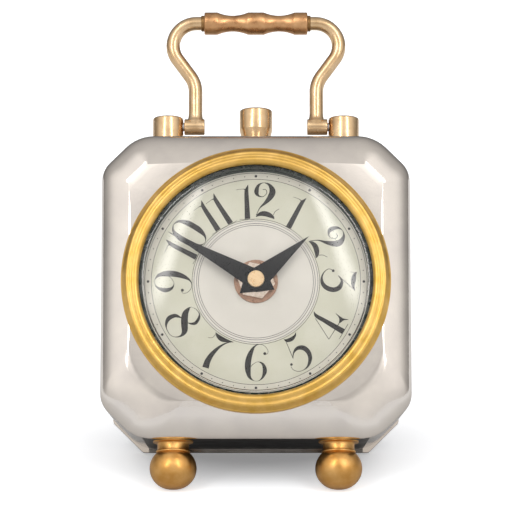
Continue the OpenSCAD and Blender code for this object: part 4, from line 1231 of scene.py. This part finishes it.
def from_middle(tree, aside):
    place = add(tree, "ShaderNodeTexCoord").outputs["Object"]
    oval = add(tree, "ShaderNodeMapping", {"Vector": place, "Location": OVAL_SHIFT,
                                           "Scale": (aside, 1, 1)}).outputs["Vector"]
    return add(tree, "ShaderNodeVectorMath", {0: oval}, operation="LENGTH").outputs["Value"]


# Studio paper, rolled out: matt and very slightly blue. Round the clock it carries a painted shadow for the camera
# and a painted shade for mirrors.
def studio_floor():
    material, tree, shader = finish("studio_paper", PAPER, Roughness=0.9,
                                    Emission_Color=colour("#FFFFFF"))
    path = add(tree, "ShaderNodeLightPath")
    mirrored = add(tree, "ShaderNodeMath", {
        0: path.outputs["Is Glossy Ray"], 1: path.outputs["Is Transmission Ray"]},
        operation="MAXIMUM").outputs[0]
    paper = colour(PAPER)
    for oval, start, end, strength, dark in MIRRORED_SHADES:
        fade = add(tree, "ShaderNodeMapRange", {
            "Value": from_middle(tree, oval), "From Min": start, "From Max": end,
            "To Min": strength, "To Max": 0}).outputs["Result"]
        shade = add(tree, "ShaderNodeMath", {0: fade, 1: mirrored}, operation="MULTIPLY")
        paper = add(tree, "ShaderNodeMix", {"Factor": shade.outputs[0], ONE: paper,
                                            OTHER: colour(dark)},
                    data_type="RGBA").outputs[MIXED]
    lift = add(tree, "ShaderNodeMapRange", {
        "Value": from_middle(tree, WIDE_OVAL), "From Min": LIFT_RANGE[0],
        "From Max": LIFT_RANGE[1], "To Min": LIFT[0], "To Max": LIFT[1]}).outputs["Result"]
    seen = add(tree, "ShaderNodeMath", {0: mirrored, 1: MIRRORED_LIFT,
                                        2: path.outputs["Is Camera Ray"]},
               operation="MULTIPLY_ADD").outputs[0]
    glow = add(tree, "ShaderNodeMath", {0: seen, 1: lift}, operation="MULTIPLY")
    tree.links.new(paper, shader.inputs["Base Color"])
    tree.links.new(glow.outputs[0], shader.inputs["Emission Strength"])
    return material


# %% Floor
FLOOR_HALF = 4
floor_bm = bmesh.new()
bmesh.ops.create_grid(floor_bm, x_segments=1, y_segments=1, size=FLOOR_HALF)
floor_mesh = bpy.data.meshes.new("floor")
floor_bm.to_mesh(floor_mesh)
floor_bm.free()
floor_mesh.materials.append(studio_floor())
floor = bpy.data.objects.new("floor", floor_mesh)
bpy.context.collection.objects.link(floor)
print("floor:", 2 * FLOOR_HALF, "metres across")

# %% [markdown]
# The world is both the lighting and what polished metal mirrors. No lamps are used: a
# lamp's reflection has a hard shape, while a soft box and a bright wall fade out. The room
# is plain grey, brighter to the front and above, with soft patches of light on both sides
# of the clock. A patch is given by its strength, and by where it starts and ends and how
# softly, in degrees: first to the side, then upwards. To the side is counted from straight
# in front either way, since the room is the same on both sides.

# %% Light of the room
ROOM = 0.47
FRONT = 0.45
FRONT_RISE = math.radians(37)
DARKEST = 0.05
# The light is very slightly warm.
ROOM_TINT = (1.0, 0.98, 0.965, 1)
PATCHES = (
    # A soft box above, on each side, and a bright wall beyond it.
    (0.65, (20, 44, 8), (27, 66, 7)),
    (0.42, (30, 86, 18), (12, 70, 12)),
    # The middle: a little darker where someone stands, and brighter above them.
    (-0.28, (-10, 13, 5), (14, 33, 5)),
    (0.6, (4, 22, 3), (41, 62, 4)),
    # A narrow upright strip in each soft box, which draws the hard highlights.
    (10.5, (32, 37, 2.5), (26, 62, 6)),
    # The foot of the wall.
    (0.1, (12, 75, 8), (-4, 16, 5)),
)


# A share that is 1 between low and high, and fades out softly at both ends.
def between(tree, value, low, high, soft):
    low, high, soft = (math.radians(degrees) for degrees in (low, high, soft))
    rise = add(tree, "ShaderNodeMapRange", {
        "Value": value, "From Min": low - soft, "From Max": low + soft},
        interpolation_type="SMOOTHSTEP").outputs[0]
    fall = add(tree, "ShaderNodeMapRange", {
        "Value": value, "From Min": high - soft, "From Max": high + soft, "To Min": 1,
        "To Max": 0}, interpolation_type="SMOOTHSTEP").outputs[0]
    return add(tree, "ShaderNodeMath", {0: rise, 1: fall}, operation="MULTIPLY").outputs[0]


# %% [markdown]
# A direction in the world is turned into two angles: how far to the side it points, and how
# high. The camera and clear glass look past all this at plain white.

# %% World
def room_light(tree):
    way = add(tree, "ShaderNodeTexCoord").outputs["Generated"]
    parts = add(tree, "ShaderNodeSeparateXYZ", {"Vector": way})
    aside = add(tree, "ShaderNodeMath", {0: parts.outputs["X"]}, operation="ABSOLUTE")
    toward = add(tree, "ShaderNodeMath", {0: parts.outputs["Y"], 1: -1}, operation="MULTIPLY")
    turn = add(tree, "ShaderNodeMath", {0: aside.outputs[0], 1: toward.outputs[0]},
               operation="ARCTAN2").outputs[0]
    rise = add(tree, "ShaderNodeMath", {0: parts.outputs["Z"]}, operation="ARCSINE").outputs[0]
    facing = add(tree, "ShaderNodeVectorMath", {
        0: way, 1: (0, -math.cos(FRONT_RISE), math.sin(FRONT_RISE))}, operation="DOT_PRODUCT")
    glow = add(tree, "ShaderNodeMath", {0: facing.outputs["Value"], 1: FRONT, 2: ROOM},
               operation="MULTIPLY_ADD").outputs[0]
    for strength, across_ends, height_ends in PATCHES:
        inside = add(tree, "ShaderNodeMath", {
            0: between(tree, turn, *across_ends), 1: between(tree, rise, *height_ends)},
            operation="MULTIPLY").outputs[0]
        glow = add(tree, "ShaderNodeMath", {0: inside, 1: strength, 2: glow},
                   operation="MULTIPLY_ADD").outputs[0]
    return add(tree, "ShaderNodeMath", {0: glow, 1: DARKEST}, operation="MAXIMUM").outputs[0]


world = bpy.data.worlds.new("studio")
bpy.context.scene.world = world
world.use_nodes = True
tree = world.node_tree
tree.nodes.clear()
room = add(tree, "ShaderNodeBackground", {"Color": ROOM_TINT, "Strength": room_light(tree)})
white = add(tree, "ShaderNodeBackground", {"Color": colour("#FFFFFF"), "Strength": 1.0})
path = add(tree, "ShaderNodeLightPath")
seen = add(tree, "ShaderNodeMath", {0: path.outputs["Is Camera Ray"],
                                    1: path.outputs["Is Transmission Ray"]}, operation="MAXIMUM")
mixed = add(tree, "ShaderNodeMixShader", {0: seen.outputs[0], 1: room.outputs[0],
                                          2: white.outputs[0]})
add(tree, "ShaderNodeOutputWorld", {"Surface": mixed.outputs[0]})
print("world nodes:", len(tree.nodes))

# %% [markdown]
# At the end, json is imported once more.

# %% The end
import json
